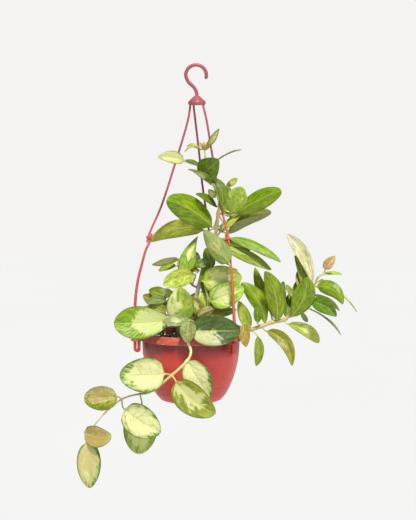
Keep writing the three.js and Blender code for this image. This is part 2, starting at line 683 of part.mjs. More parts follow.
const backVine = {
  path: [
    [-24, 32, -432, 2.2], [-24, 32, -398, 2.2], [-27, 52, -384, 2.1], [-30, 70, -381, 2],
    [-32, 82, -395, 1.9], [-32, 87, -418, 1.8], [-30, 88, -442, 1.6], [-27, 87, -464, 1.3],
  ],
  leaves: [
    [4, [-38, 86, -402], [-66, 96, -432], 28, { roll: 180 }],
    [4, [-26, 88, -404], [-14, 102, -446], 26, { roll: 180 }],
    [5, [-37, 90, -426], [-70, 96, -458], 27, { roll: 180 }],
    [5, [-27, 92, -426], [4, 100, -462], 27, { roll: 180 }],
    [6, [-34, 91, -448], [-52, 98, -488], 26, { roll: 180 }],
    [6, [-26, 92, -450], [2, 100, -488], 22, { roll: 180 }],
    [7, [-26, 90, -466], [-12, 96, -496], 24, { roll: 180 }],
  ],
};

const backStem = {
  path: [
    [10, 26, -432, 2.2], [10, 26, -399, 2.2], [16, 30, -380, 2], [24, 33, -356, 1.9],
    [31, 34, -332, 1.6], [36, 34, -312, 1.3],
  ],
  leaves: [
    [2, [8, 38, -381], [-16, 80, -368], 26, { roll: 20 }],
    [2, [24, 36, -376], [60, 66, -362], 26, { roll: -60 }],
    [3, [20, 38, -354], [-12, 70, -344], 26, { roll: 30 }],
    [3, [32, 38, -352], [62, 70, -336], 24, { roll: -60 }],
    [4, [28, 38, -328], [34, 80, -318], 24, {}],
    [5, [40, 37, -310], [60, 62, -302], 22, { roll: -60 }],
  ],
};

const stems = {
  stem_tall: [tallStem, leftShoot],
  stem_centre: [centreStem],
  stem_front: [frontStem],
  stem_left: [leftStem],
  branch_right: [rightBranch],
  vine_front: [trailingVine],
  vine_back: [backVine],
  stem_back: [backStem],
};

const stemFeet = Object.values(stems).map(([{ path: [foot] }]) => ({ foot: seen(foot), radius: foot[3] }));

const plant = new THREE.Group();
plant.add(piece('pot', pot(), potRed));
plant.add(piece('soil', soil(stemFeet), soilBrown));
plant.add(piece('hanger_hook', hook(), hangerRed.clone()));
Object.keys(earAngles).forEach((side) => {
  plant.add(piece(`arm_upper_${side}`, upperArm(side), hangerRed.clone()));
  plant.add(piece(`arm_lower_${side}`, lowerArm(side), hangerRed.clone()));
});
Object.entries(stems).forEach(([name, limbs]) => {
  const body = joined(limbs.map((each) => limb(each)));
  const material = name === 'vine_front' ? vineCream : leafGreen.clone();
  plant.add(piece(name, body, material));
});

export default plant;
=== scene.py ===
import math
import random

import bpy
from mathutils import Matrix, Vector


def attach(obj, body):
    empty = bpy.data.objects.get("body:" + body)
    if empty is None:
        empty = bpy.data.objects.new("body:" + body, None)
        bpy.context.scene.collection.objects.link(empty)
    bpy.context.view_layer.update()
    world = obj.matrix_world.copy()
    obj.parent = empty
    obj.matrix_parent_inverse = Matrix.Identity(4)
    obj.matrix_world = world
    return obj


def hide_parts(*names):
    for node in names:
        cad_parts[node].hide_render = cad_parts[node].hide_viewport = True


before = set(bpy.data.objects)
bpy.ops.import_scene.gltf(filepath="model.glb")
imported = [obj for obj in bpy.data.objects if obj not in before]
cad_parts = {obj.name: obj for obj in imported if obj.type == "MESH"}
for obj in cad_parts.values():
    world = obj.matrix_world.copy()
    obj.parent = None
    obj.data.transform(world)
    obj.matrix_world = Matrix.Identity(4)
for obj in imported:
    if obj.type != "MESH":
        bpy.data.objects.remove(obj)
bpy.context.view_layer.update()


# Pot
# One red plastic moulding: a bowl with a sloping rim band, fine ribs above its foot and three slotted
# ears under the rim. Its half section is turned round the axis, and the ears are fused to it.
mm = 0.001
pot_axis = -8
rim_top = -396
rim_radius = 73.5
skirt_radius = 78
rim_height = 11
rim_foot = rim_top - rim_height
pot_height = 103.5
pot_base = rim_top - pot_height
foot_radius = 41
wall = 2.2
# Heights above the pot's base, each with the bowl's outer radius there
bowl_outline = [[0, 41], [1.5, 45.5], [9, 52.5], [21, 58.5], [33, 63.8], [45, 67.5], [57, 70.3], [72, 72.6],
                [92.5, 73.6]]
rim_shade_depth = 29
rib_count, rib_pitch, rib_depth, lowest_rib = 5, 3.5, 1.2, 7
ribs_end = lowest_rib + rib_count * rib_pitch
ear_angles = {"left": -165, "right": -42, "back": 80}
ear_radius, ear_reach, ear_width, ear_thickness, ear_corner = 86, 5.4, 15, 2, 2.5
slot_width, slot_length, slot_corner = 8.6, 4.6, 0.8


def paint(red, green, blue):
    """A colour as it is seen on a screen, as the linear colour that Blender takes."""
    shares = [part / 255 for part in (red, green, blue)]
    return (*(((share + 0.055) / 1.055) ** 2.4 if share > 0.04 else share / 12.92 for share in shares), 1)


def add(tree, kind, inputs=None, **settings):
    """A node with its settings, and its inputs given as values or as other nodes' outputs."""
    node = tree.nodes.new(kind)
    for name, value in settings.items():
        setattr(node, name, value)
    for socket, value in (inputs or {}).items():
        if isinstance(value, bpy.types.NodeSocket):
            tree.links.new(value, node.inputs[socket])
        else:
            node.inputs[socket].default_value = value
    return node


def tree_of(values):
    """The node tree of the first socket among these values."""
    return next(value.id_data for value in values if isinstance(value, bpy.types.NodeSocket))


def reckon(operation, *values, clamp=False):
    """The result of a Math node."""
    settings = {"operation": operation, "use_clamp": clamp}
    return add(tree_of(values), "ShaderNodeMath", dict(enumerate(values)), **settings).outputs[0]


def ease(value, start, end):
    """0 at start, 1 at end, and a smooth change between them."""
    inputs = {"Value": value, "From Min": start, "From Max": end}
    return add(value.id_data, "ShaderNodeMapRange", inputs, interpolation_type="SMOOTHSTEP").outputs["Result"]


def ease_mm(reading, start, end):
    """As ease, for a reading in metres between two values in millimetres."""
    return ease(reading, start * mm, end * mm)


def blend(share, first, second, way="MIX"):
    """Two colours mixed. A Mix node has its sockets 6 and 7 for colours, and gives out its socket 2."""
    inputs = {0: share, 6: first, 7: second}
    return add(tree_of(inputs.values()), "ShaderNodeMix", inputs, data_type="RGBA", blend_type=way).outputs[2]


def shaded(colour, shade):
    """A colour multiplied by a shade."""
    return blend(1.0, colour, shade, "MULTIPLY")


def noise(place, scale, detail):
    """Cloudy noise from 0 to 1."""
    inputs = {"Vector": place, "Scale": scale, "Detail": detail}
    return add(place.id_data, "ShaderNodeTexNoise", inputs).outputs[0]


def parts(vector):
    """The three numbers of a vector."""
    return add(vector.id_data, "ShaderNodeSeparateXYZ", {0: vector}).outputs


def object_place(tree):
    """Where a point of the piece lies, in metres."""
    return add(tree, "ShaderNodeTexCoord").outputs["Object"]


def grouped(name, kind, sockets_in, sockets_out):
    """An empty node group with its named inputs and outputs, and its two end nodes."""
    tree = bpy.data.node_groups.new(name, kind)
    for label, socket, value in sockets_in:
        made = tree.interface.new_socket(label, in_out="INPUT", socket_type=socket)
        if value is not None:
            made.default_value = value
    for label, socket in sockets_out:
        tree.interface.new_socket(label, in_out="OUTPUT", socket_type=socket)
    return tree, tree.nodes.new("NodeGroupInput").outputs, tree.nodes.new("NodeGroupOutput")


def new_material(name):
    """A material, its node tree and its shader."""
    material = bpy.data.materials.new(name)
    material.use_nodes = True
    return material, material.node_tree, material.node_tree.nodes["Principled BSDF"]


def dress(shader, colour, roughness, relief, strength, depth):
    """Gives a shader its colour and roughness, and bumps of a depth in millimetres."""
    tree = shader.id_data
    bump = add(tree, "ShaderNodeBump", {"Height": relief, "Strength": strength, "Distance": depth * mm})
    for value, socket in ((colour, "Base Color"), (roughness, "Roughness"), (bump.outputs[0], "Normal")):
        tree.links.new(value, shader.inputs[socket])


# Moulded plastic: cloudy colour, paler scuffs and a fine uneven gloss
plastic_look, given, result = grouped(
    "moulded plastic", "ShaderNodeTree",
    [("Colour", "NodeSocketColor", None), ("Scuff colour", "NodeSocketColor", None),
     ("Scuffs", "NodeSocketFloat", 0.2), ("Gloss", "NodeSocketFloat", 0.4)],
    [("Colour", "NodeSocketColor"), ("Roughness", "NodeSocketFloat"), ("Height", "NodeSocketFloat")])
place = object_place(plastic_look)
cloud = noise(place, 26.0, 3.0)
drawn_out = add(plastic_look, "ShaderNodeMapping", {"Vector": place, "Scale": (1, 1, 5)}).outputs[0]
cloudy = blend(ease(cloud, 0.3, 0.75), given["Colour"], shaded(given["Colour"], (0.84, 0.8, 0.8, 1)))
scuffed = reckon("MULTIPLY", ease(noise(drawn_out, 160.0, 4.0), 0.5, 0.72), given["Scuffs"])
uneven = reckon("MULTIPLY_ADD", cloud, 0.16, given["Gloss"])
plastic_look.links.new(blend(scuffed, cloudy, given["Scuff colour"]), result.inputs["Colour"])
plastic_look.links.new(reckon("MULTIPLY_ADD", scuffed, 0.3, uneven), result.inputs["Roughness"])
plastic_look.links.new(noise(place, 1400.0, 2.0), result.inputs["Height"])


def moulded(shader, colour, scuff_colour, scuffs, gloss, strength, depth):
    """Dresses a shader as moulded plastic."""
    values = {"Colour": colour, "Scuff colour": scuff_colour, "Scuffs": scuffs, "Gloss": gloss}
    look = add(shader.id_data, "ShaderNodeGroup", values, node_tree=plastic_look).outputs
    dress(shader, look["Colour"], look["Roughness"], look["Height"], strength, depth)


# The pot's red, with a duller and more scuffed rim, painted shade in the grooves of the ribs and in a band
# under the rim, and painted shade on the inner wall above the soil
pot_red, tree, shader = new_material("pot red plastic")
place = object_place(tree)
height = parts(place)["Z"]
on_rim = ease_mm(height, rim_foot - 1.5, rim_foot + 0.5)
# Painted shade: darker in the grooves of the ribs and in a band under the rim
ribs_low, ribs_high = pot_base + lowest_rib, pot_base + ribs_end
in_ribs = reckon("MULTIPLY", ease_mm(height, ribs_low - 2, ribs_low),
                 ease_mm(height, ribs_high + 1.5, ribs_high - 0.5))
wave = math.tau / rib_pitch
groove = reckon("COSINE", reckon("MULTIPLY_ADD", height, wave / mm, -wave * ribs_low))
rib_groove_shade = reckon("MULTIPLY", in_ribs, ease(groove, 0.1, 0.9))
under_rim_shade = reckon("MULTIPLY", ease_mm(height, rim_foot - rim_shade_depth, rim_foot - 1.5),
                   reckon("SUBTRACT", 1.0, on_rim))
painted_shade = reckon("MAXIMUM", reckon("MULTIPLY", rib_groove_shade, 0.45), reckon("MULTIPLY", under_rim_shade, 0.9))
# The body's red, darkened to maroon where the shade is painted, and the rim's duller red
body_colour = blend(on_rim, blend(painted_shade, paint(224, 74, 60), paint(100, 26, 28)), paint(192, 86, 74))
centred = add(tree, "ShaderNodeVectorMath", {0: place, 1: (-pot_axis * mm, 0, 0)}, operation="ADD").outputs[0]
level_part = add(tree, "ShaderNodeVectorMath", {0: centred, 1: (1, 1, 0)}, operation="MULTIPLY").outputs[0]
from_axis = add(tree, "ShaderNodeVectorMath", {0: level_part}, operation="LENGTH").outputs["Value"]
# Painted shade: the inner wall darkened between the rim and the soil
inner_wall = reckon("MULTIPLY", ease_mm(from_axis, rim_radius - 0.7, rim_radius - 1.7),
                    ease_mm(height, rim_foot - 2, rim_foot))
inner_wall_shade = reckon("MULTIPLY", inner_wall, ease_mm(height, rim_top - 0.5, rim_top - 3))
body_colour = blend(reckon("MULTIPLY", inner_wall_shade, 0.75), body_colour, paint(66, 34, 28))
scuffs = reckon("MULTIPLY_ADD", on_rim, 0.45, 0.12)
moulded(shader, body_colour, paint(222, 150, 132), scuffs, gloss=0.34, strength=0.12, depth=0.4)


def bare_mesh(name, points, edges=(), faces=()):
    """A mesh of points given in millimetres."""
    mesh = bpy.data.meshes.new(name)
    mesh.from_pydata([Vector(point) * mm for point in points], edges, faces)
    mesh.update()
    return mesh


def placed(name, mesh):
    """A piece at the origin with this mesh."""
    piece = bpy.data.objects.new(name, mesh)
    bpy.context.scene.collection.objects.link(piece)
    return piece


def settled(piece):
    """The piece with its modifiers worked into a plain mesh."""
    seen_mesh = piece.evaluated_get(bpy.context.evaluated_depsgraph_get())
    plain = bpy.data.meshes.new_from_object(seen_mesh)
    piece.modifiers.clear()
    piece.data = plain
    return piece


def shaped(piece, tree, **values):
    """The piece made by a Geometry Nodes tree with these inputs, as a plain mesh."""
    modifier = piece.modifiers.new("shape", "NODES")
    modifier.node_group = tree
    keys = {item.name: item.identifier for item in tree.interface.items_tree if item.in_out == "INPUT"}
    for label, value in values.items():
        modifier[keys[label]] = value
    return settled(piece)


def given_out(geometry, given, result):
    """Ends a Geometry Nodes tree with plain geometry in the material given to it."""
    tree = geometry.id_data
    real = add(tree, "GeometryNodeRealizeInstances", {0: geometry}).outputs[0]
    dressed = add(tree, "GeometryNodeSetMaterial", {0: real, "Material": given["Material"]}).outputs[0]
    tree.links.new(dressed, result.inputs[0])


# Turns a half section, drawn as radius and height, round an upright axis, and closes it at the axis
turned, given, result = grouped(
    "turned section", "GeometryNodeTree",
    [("Section", "NodeSocketGeometry", None), ("Sides", "NodeSocketInt", 64),
     ("Axis", "NodeSocketFloat", 0.0), ("Material", "NodeSocketMaterial", None)],
    [("Piece", "NodeSocketGeometry")])
line = add(turned, "GeometryNodeMeshToCurve", {0: given["Section"]}).outputs[0]
circle = add(turned, "GeometryNodeCurvePrimitiveCircle", {"Resolution": given["Sides"], "Radius": 1e-7})
upright = add(turned, "GeometryNodeSetCurveNormal", {"Curve": circle.outputs[0]}, mode="Z_UP").outputs[0]
swept = add(turned, "GeometryNodeCurveToMesh", {"Curve": upright, "Profile Curve": line}).outputs[0]
closed = add(turned, "GeometryNodeMergeByDistance", {0: swept, "Distance": 1e-6}).outputs[0]
offset = add(turned, "ShaderNodeCombineXYZ", {"X": given["Axis"]}).outputs[0]
moved = add(turned, "GeometryNodeTransform", {0: closed, "Translation": offset}).outputs[0]
given_out(moved, given, result)


def turned_piece(name, section, axis, material, sides):
    """A round piece from its half section, listed from the top of the axis outwards and down to its foot."""
    points = [(radius, -height, 0) for radius, height in section]
    start = bare_mesh(name, points, [(n, n + 1) for n in range(len(points) - 1)])
    return shaped(placed(name, start), turned, Sides=sides, Axis=axis * mm, Material=material)


def rounded(corners, radius, steps=3, closed=True):
    """An outline with its corners rounded. An open one keeps its two ends."""
    outline = []
    for before, corner, after in zip([corners[-1], *corners[:-1]], corners, [*corners[1:], corners[0]]):
        at = Vector(corner)
        if not closed and corner in (corners[0], corners[-1]):
            outline.append(at)
            continue
        ends = []
        for neighbour in (Vector(before), Vector(after)):
            length = (neighbour - at).length
            ends.append(at + (neighbour - at) * min(radius, length * 0.4) / length)
        for step in range(steps + 1):
            t = step / steps
            outline.append(ends[0] * (1 - t) ** 2 + at * 2 * t * (1 - t) + ends[1] * t * t)
    return outline


def bowl_radius(height):
    """Outer radius of the bowl at a height above the base."""
    above = next(n for n, (level, _) in enumerate(bowl_outline) if level >= height) or 1
    (low, start), (high, end) = bowl_outline[above - 1], bowl_outline[above]
    return start + (end - start) * (height - low) / (high - low)


outside = [[0, 0], [foot_radius, 0], bowl_outline[1][::-1]]
for rib in range(rib_count):
    level = lowest_rib + rib * rib_pitch
    outside += [[bowl_radius(level), level], [bowl_radius(level) + rib_depth, level + rib_pitch / 2]]
outside.append([bowl_radius(ribs_end), ribs_end])
outside += [[radius, level] for level, radius in bowl_outline if level > ribs_end + 2]
outside += [[skirt_radius, pot_height - rim_height], [rim_radius + 1, pot_height - 1.5]]
inside = [[rim_radius, pot_height], [rim_radius - wall, pot_height]]
inside += [[radius - wall, level + 1] for level, radius in reversed(bowl_outline[2:])]
inside += [[foot_radius + 1.5, wall], [0, wall]]
section = [(radius, pot_base + level) for radius, level in reversed(outside + inside)]
pot = turned_piece("pot_moulding", rounded(section, 0.7, closed=False), pot_axis, pot_red, sides=128)


def fused(piece, other, operation="UNION"):
    """The piece with another solid added to it or cut from it."""
    modifier = piece.modifiers.new("fuse", "BOOLEAN")
    modifier.operation = operation
    modifier.solver = "EXACT"
    modifier.object = other
    settled(piece)
    bpy.data.objects.remove(other)
    return piece


def slab(name, outline, thickness, holes=(), edge=0.35):
    """A flat plate of this outline, lying in the XY plane, with rounded edges and plain holes."""
    points = [(x, y, 0) for x, y in outline]
    plate = placed(name, bare_mesh(name, points, faces=[list(range(len(points)))]))
    thick = plate.modifiers.new("thickness", "SOLIDIFY")
    thick.thickness = thickness * mm
    thick.offset = 0
    settled(plate)
    for hole in holes:
        fused(plate, slab(name + "_hole", hole, thickness * 3, edge=0), "DIFFERENCE")
    if edge:
        round_off = plate.modifiers.new("round_off", "BEVEL")
        round_off.width = edge * mm
        round_off.segments = 2
        round_off.limit_method = "ANGLE"
        settled(plate)
    return plate


def rectangle(left, right, low, high):
    """The four corners of a rectangle."""
    return [(left, low), (right, low), (right, high), (left, high)]


def finished(piece, node_names, sharp=35):
    """Smooth faces with crisp edges, and the piece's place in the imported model."""
    piece.data.shade_smooth()
    piece.data.set_sharp_from_angle(angle=math.radians(sharp))
    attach(piece, "root")
    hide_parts(*node_names)
    return piece


ear_outline = rounded(rectangle(rim_radius - 0.5, ear_radius + ear_reach, -ear_width / 2, ear_width / 2),
                      ear_corner)
slot_hole = rounded(rectangle(ear_radius - slot_length / 2, ear_radius + slot_length / 2,
                              -slot_width / 2, slot_width / 2), slot_corner)
for side, angle in ear_angles.items():
    ear = slab("ear_" + side, ear_outline, ear_thickness, [slot_hole])
    lift = Matrix.Translation(Vector((pot_axis, 0, rim_foot + ear_thickness / 2)) * mm)
    ear.data.transform(lift @ Matrix.Rotation(math.radians(angle), 4, "Z"))
    ear.data.materials.append(pot_red)
    fused(pot, ear)
finished(pot, ["pot"])


# Soil
# Dark potting soil, slightly heaped in the middle, with crumbs of bark and white perlite grains lying in
# it. The heap is turned like the pot and roughened, and the grains are strewn over it.
soil_top, soil_crown = -406, 2.5
# The soil keeps off the pot's wall, and fitted pieces off each other
soil_gap, clearance = 0.8, 0.3

soil_brown, tree, shader = new_material("potting soil")
place = object_place(tree)
lumps, crumb_tone = noise(place, 220.0, 5.0), noise(place, 620.0, 3.0)
damp = blend(ease(lumps, 0.35, 0.7), paint(38, 30, 22), paint(84, 66, 46))
dry = blend(ease(crumb_tone, 0.62, 0.76), damp, paint(122, 98, 66))
dress(shader, dry, reckon("MULTIPLY_ADD", lumps, 0.2, 0.78), crumb_tone, strength=0.7, depth=1.0)

perlite_white, tree, shader = new_material("perlite")
place = object_place(tree)
pores = add(tree, "ShaderNodeTexVoronoi", {"Vector": place, "Scale": 1500.0}).outputs["Distance"]
stain = noise(place, 260.0, 3.0)
grain_colour = blend(ease(stain, 0.45, 0.75), paint(236, 233, 226), paint(186, 172, 148))
dress(shader, grain_colour, reckon("MULTIPLY_ADD", stain, 0.2, 0.7), pores, strength=0.6, depth=0.4)

# Strews rough grains of one material over the upper faces of a surface. They are made real before they are
# dented, so that each grain gets its own dents.
strewn, given, result = grouped(
    "strewn grains", "GeometryNodeTree",
    [("Surface", "NodeSocketGeometry", None), ("Density", "NodeSocketFloat", 1e5),
     ("Size", "NodeSocketFloat", 0.001), ("Above", "NodeSocketFloat", -0.41), ("Seed", "NodeSocketInt", 1),
     ("Material", "NodeSocketMaterial", None)],
    [("Grains", "NodeSocketGeometry")])
level = parts(add(strewn, "GeometryNodeInputPosition").outputs[0])["Z"]
upper = add(strewn, "FunctionNodeCompare", {0: level, 1: given["Above"]}, operation="GREATER_THAN").outputs[0]
spots = add(strewn, "GeometryNodeDistributePointsOnFaces",
            {"Mesh": given["Surface"], "Selection": upper, "Density": given["Density"],
             "Seed": given["Seed"]}).outputs[0]
grain_ball = add(strewn, "GeometryNodeMeshIcoSphere", {"Radius": given["Size"], "Subdivisions": 2}).outputs[0]
turn = add(strewn, "FunctionNodeRandomValue", {"Max": (6.28, 6.28, 6.28), "Seed": given["Seed"]},
           data_type="FLOAT_VECTOR").outputs[0]
size = add(strewn, "FunctionNodeRandomValue",
           {"Min": (0.5, 0.4, 0.35), "Max": (1.5, 1.1, 0.9), "Seed": given["Seed"]},
           data_type="FLOAT_VECTOR").outputs[0]
grains = add(strewn, "GeometryNodeInstanceOnPoints",
             {"Points": spots, "Instance": grain_ball, "Rotation": turn, "Scale": size}).outputs[0]
real = add(strewn, "GeometryNodeRealizeInstances", {0: grains}).outputs[0]
spot = add(strewn, "GeometryNodeInputPosition").outputs[0]
rough = add(strewn, "ShaderNodeTexNoise", {"Vector": spot, "Scale": 700.0, "Detail": 1.0}).outputs["Color"]
centred = add(strewn, "ShaderNodeVectorMath", {0: rough, 1: (0.5, 0.5, 0.5)}, operation="SUBTRACT").outputs[0]
push = add(strewn, "ShaderNodeVectorMath", {0: centred, "Scale": given["Size"]}, operation="SCALE").outputs[0]
knobbly = add(strewn, "GeometryNodeSetPosition", {0: real, "Offset": push}).outputs[0]
given_out(knobbly, given, result)


def joined(name, pieces):
    """Several pieces as one object."""
    with bpy.context.temp_override(active_object=pieces[0], selected_editable_objects=pieces):
        bpy.ops.object.join()
    pieces[0].name = name
    return pieces[0]


soil_edge = bowl_radius(soil_top - pot_base - 1) - wall - soil_gap
heap = [(soil_edge * out, soil_top + soil_crown * up) for out, up in ((0, 1), (0.3, 0.95), (0.55, 0.8),
                                                                      (0.8, 0.4), (1, 0))]
for level, radius in reversed(bowl_outline[2:]):
    if pot_base + level + 1 < soil_top - soil_crown:
        heap.append((radius - wall - soil_gap, pot_base + level + 1))
heap += [(foot_radius, pot_base + wall + clearance), (0, pot_base + wall + clearance)]
soil = turned_piece("soil_heap", heap, pot_axis, soil_brown, sides=72)
finer = soil.modifiers.new("finer", "SUBSURF")
finer.subdivision_type = "SIMPLE"
finer.levels = finer.render_levels = 2
settled(soil)
lump_rng = random.Random(4)
for vertex in soil.data.vertices:
    if vertex.co.z > (soil_top - 1) * mm:
        vertex.co.z += lump_rng.uniform(-0.5, 0.4) * mm
strewn_above = (soil_top - 0.5) * mm
crumbs = shaped(placed("crumbs", soil.data.copy()), strewn, Density=90000.0, Size=0.0012,
                Above=strewn_above, Seed=3, Material=soil_brown)
perlite = shaped(placed("perlite", soil.data.copy()), strewn, Density=9000.0, Size=0.0014,
                 Above=strewn_above, Seed=11, Material=perlite_white)
finished(joined("soil_heap", [soil, crumbs, perlite]), ["soil"], sharp=60)


# Hanger
# Red plastic: a hook over a small hub, and three arms pushed up into the hub. Each arm is two rods linked
# by a stud, and ends in a flat strip that passes down through an ear's slot and turns up under it.
rod_radius, rod_foot_radius, rod_end, rod_steps = 1.6, 2.5, 0.75, 6
hook_rod_radius, hook_inner_radius = 2.6, 13
hook_shaft = [(0, -3), (-0.6, 7), (-5, 15), (-12.5, 22)]
hook_sweep, hook_steps = 1.12, 12
hub_axis, hub_radius, hub_top, hub_foot, socket_depth = 1.2, 13, -45, -57, 6
link_height, link_overlap = -254, 7.5
stud_radius, stud_head, stud_head_height, stud_play, eyelet_radius = 1, 1.9, 1.4, 0.4, 2.7
strip_width, strip_thickness, strip_foot, strip_inset, strip_rise = 7.8, 3.6, -424, 6, 10
rod_in_strip, path_end_gap, bend_steps = 3, 2, 12
arm_tops = {"left": (-8.8, -1.5), "right": (10.9, -4.9), "back": (-3.6, 7.5)}
# What each arm's upper rod and its lower rod pass through, from the top down
arm_paths = {
    "left": ([[-12.3, -2.5, -78], [-31.8, -6.5, -144], [-52.8, -10.5, -208.5], [-66.3, -13, -242]],
             [[-75.6, -15, -273], [-82.2, -16.5, -297], [-87, -18, -316.5], [-90.3, -19.2, -338],
              [-92, -20.4, -362], [-93.2, -21.6, -388]]),
    "right": ([[14.9, -7.5, -75], [23.4, -14.5, -126], [38.9, -28.5, -215], [44.5, -33, -242]],
              [[50, -40, -276], [51.8, -43, -297], [53.6, -46.5, -316.5], [55, -50.5, -340.5],
               [56.3, -54, -364.5], [57.4, -57, -388]]),
    "back": ([[-0.9, 11, -82.5], [4.4, 21, -127.5], [8.9, 33, -172.5], [18.4, 51, -240]],
             [[20.5, 58.5, -276], [19, 66, -310], [15, 73.5, -344], [10.5, 80, -372], [8.2, 83.8, -390]]),
}

# The places of arms and stems are read off the photograph, taken 2 m away and looking down a little
view_distance, view_fall, view_middle = 2000, math.radians(4.39), (17.7, -288)

# The hanger's red: more orange to the right as painted warm light, redder low down, duller at the top,
# and darker behind as painted shade
hanger_red, tree, shader = new_material("hanger red plastic")
reading = parts(object_place(tree))
warm_lit_right = blend(ease_mm(reading["X"], -30, 50), paint(198, 86, 82), paint(200, 106, 62))
redder_foot = blend(ease_mm(reading["Z"], -360, -400), warm_lit_right, paint(212, 72, 62))
dusky_top = blend(ease_mm(reading["Z"], -260, -140), redder_foot, paint(172, 84, 92))
shady_back = blend(ease_mm(reading["Y"], 4, 30), dusky_top, paint(124, 52, 62))
moulded(shader, shady_back, paint(232, 160, 142), scuffs=0.22, gloss=0.3, strength=0.1, depth=0.3)

# Gives every line of a mesh of lines a round body as thick as its points' girth says
round_bar, given, result = grouped(
    "round bar along a line", "GeometryNodeTree",
    [("Lines", "NodeSocketGeometry", None), ("Sides", "NodeSocketInt", 16),
     ("Material", "NodeSocketMaterial", None)],
    [("Bars", "NodeSocketGeometry")])
line = add(round_bar, "GeometryNodeMeshToCurve", {0: given["Lines"]}).outputs[0]
circle = add(round_bar, "GeometryNodeCurvePrimitiveCircle", {"Resolution": given["Sides"], "Radius": 1.0})
girth = add(round_bar, "GeometryNodeInputNamedAttribute", {"Name": "girth"}, data_type="FLOAT").outputs[0]
swept = add(round_bar, "GeometryNodeCurveToMesh",
            {"Curve": line, "Profile Curve": circle.outputs[0], "Scale": girth, "Fill Caps": True}).outputs[0]
given_out(swept, given, result)


def smooth(points, steps):
    """Points on a smooth line through these, with this many steps from each to the next."""
    spread = [points[0] * 2 - points[1], *points, points[-1] * 2 - points[-2]]
    fine = []
    for before, start, end, after in zip(spread, spread[1:], spread[2:], spread[3:]):
        first, middle, last = (max((b - a).length, 1e-6) ** 0.5
                               for a, b in ((before, start), (start, end), (end, after)))
        leave = (start - before) / first - (end - before) / (first + middle) + (end - start) / middle
        arrive = (end - start) / middle - (after - start) / (middle + last) + (after - end) / last
        for step in range(steps):
            t = step / steps
            fine.append((2 * t ** 3 - 3 * t ** 2 + 1) * start + (t ** 3 - 2 * t ** 2 + t) * middle * leave
                        + (3 * t ** 2 - 2 * t ** 3) * end + (t ** 3 - t ** 2) * middle * arrive)
    return [*fine, points[-1].copy()]


def seen(point):
    """A place read off the photograph, with its own depth y, as a point in space."""
    across, upward = (point[0] - view_middle[0]) / view_distance, (point[2] - view_middle[1]) / view_distance
    level, drop = math.cos(view_fall), math.sin(view_fall)
    reach = (point[1] + view_distance * level) / (level + upward * drop)
    height = view_middle[1] + view_distance * drop + reach * (upward * level - drop)
    return Vector((view_middle[0] + reach * across, point[1], height))


def bars(name, lines, material, sides=16, tints=None):
    """Round bars. Each line is a list of points and a list of radii."""
    points = [point for line, _ in lines for point in line]
    edges, first = [], 0
    for line, _ in lines:
        edges += [(n, n + 1) for n in range(first, first + len(line) - 1)]
        first += len(line)
    start = bare_mesh(name, points, edges)
    start.attributes.new("girth", "FLOAT", "POINT").data.foreach_set(
        "value", [radius * mm for _, radii in lines for radius in radii])
    if tints:
        start.attributes.new("leaf_tint", "FLOAT_COLOR", "POINT").data.foreach_set(
            "color", [part for tint in tints for part in tint])
    return shaped(placed(name, start), round_bar, Sides=sides, Material=material)


def drum(start, end, radius, end_radius=None, edge=0.35):
    """The line of a short round bar with softened edges."""
    end_radius = end_radius or radius
    along = (end - start).normalized() * edge
    return ([start, start + along, end - along, end], [radius - edge, radius, end_radius, end_radius - edge])


hook_line = [Vector((hub_axis + sideways, 0, hub_top + up)) for sideways, up in hook_shaft]
arch = hook_inner_radius + hook_rod_radius - clearance
for step in range(hook_steps + 1):
    turn = math.pi * (1 - hook_sweep * step / hook_steps)
    hook_line.append(Vector((arch * math.cos(turn), 0, arch * math.sin(turn) - hook_inner_radius)))
hook_line = smooth(hook_line, 5)
hook_radii = [hook_rod_radius] * len(hook_line)
for back, share in ((1, 0.25), (2, 0.7), (3, 0.9)):
    hook_radii[-back] = hook_rod_radius * share
hook_rod = bars("hook_rod", [(hook_line, hook_radii)], hanger_red, sides=24)
hub_section = [(0, hub_top + 1.5), (hook_rod_radius + 1.5, hub_top + 1.5), (7.8, hub_top - 2),
               (hub_radius, hub_foot + 5), (hub_radius, hub_foot + 1.5), (hub_radius - 1.5, hub_foot),
               (0, hub_foot)]
hub_outline = rounded(hub_section, 1.2, closed=False)
hub = turned_piece("hook_and_hub", hub_outline, hub_axis, hanger_red, sides=48)
fused(hub, hook_rod)
for x, y in arm_tops.values():
    hole = [Vector((x, y, hub_foot - 1)), Vector((x, y, hub_foot + socket_depth + clearance))]
    fused(hub, bars("socket", [(hole, [rod_radius + clearance] * 2)], hanger_red), "DIFFERENCE")
finished(hub, ["hanger_hook"])

# The strip at an arm's foot, from its edge: down through the slot, round a bend and up to the ear
half_strip, bend = strip_thickness / 2, strip_inset / 2
bend_height = strip_foot + bend + half_strip
strip_top = rim_foot + ear_thickness + strip_rise
turns = [math.pi * n / bend_steps for n in range(bend_steps + 1)]
strip_outline = [(bend + half_strip, strip_top)]
strip_outline += [((bend + half_strip) * math.cos(a), bend_height - (bend + half_strip) * math.sin(a))
                  for a in turns]
strip_outline += [(-bend - half_strip, rim_foot - clearance), (-bend + half_strip, rim_foot - clearance)]
strip_outline += [((half_strip - bend) * math.cos(a), bend_height - (bend - half_strip) * math.sin(a))
                  for a in turns]
strip_outline += [(bend - half_strip, strip_top)]

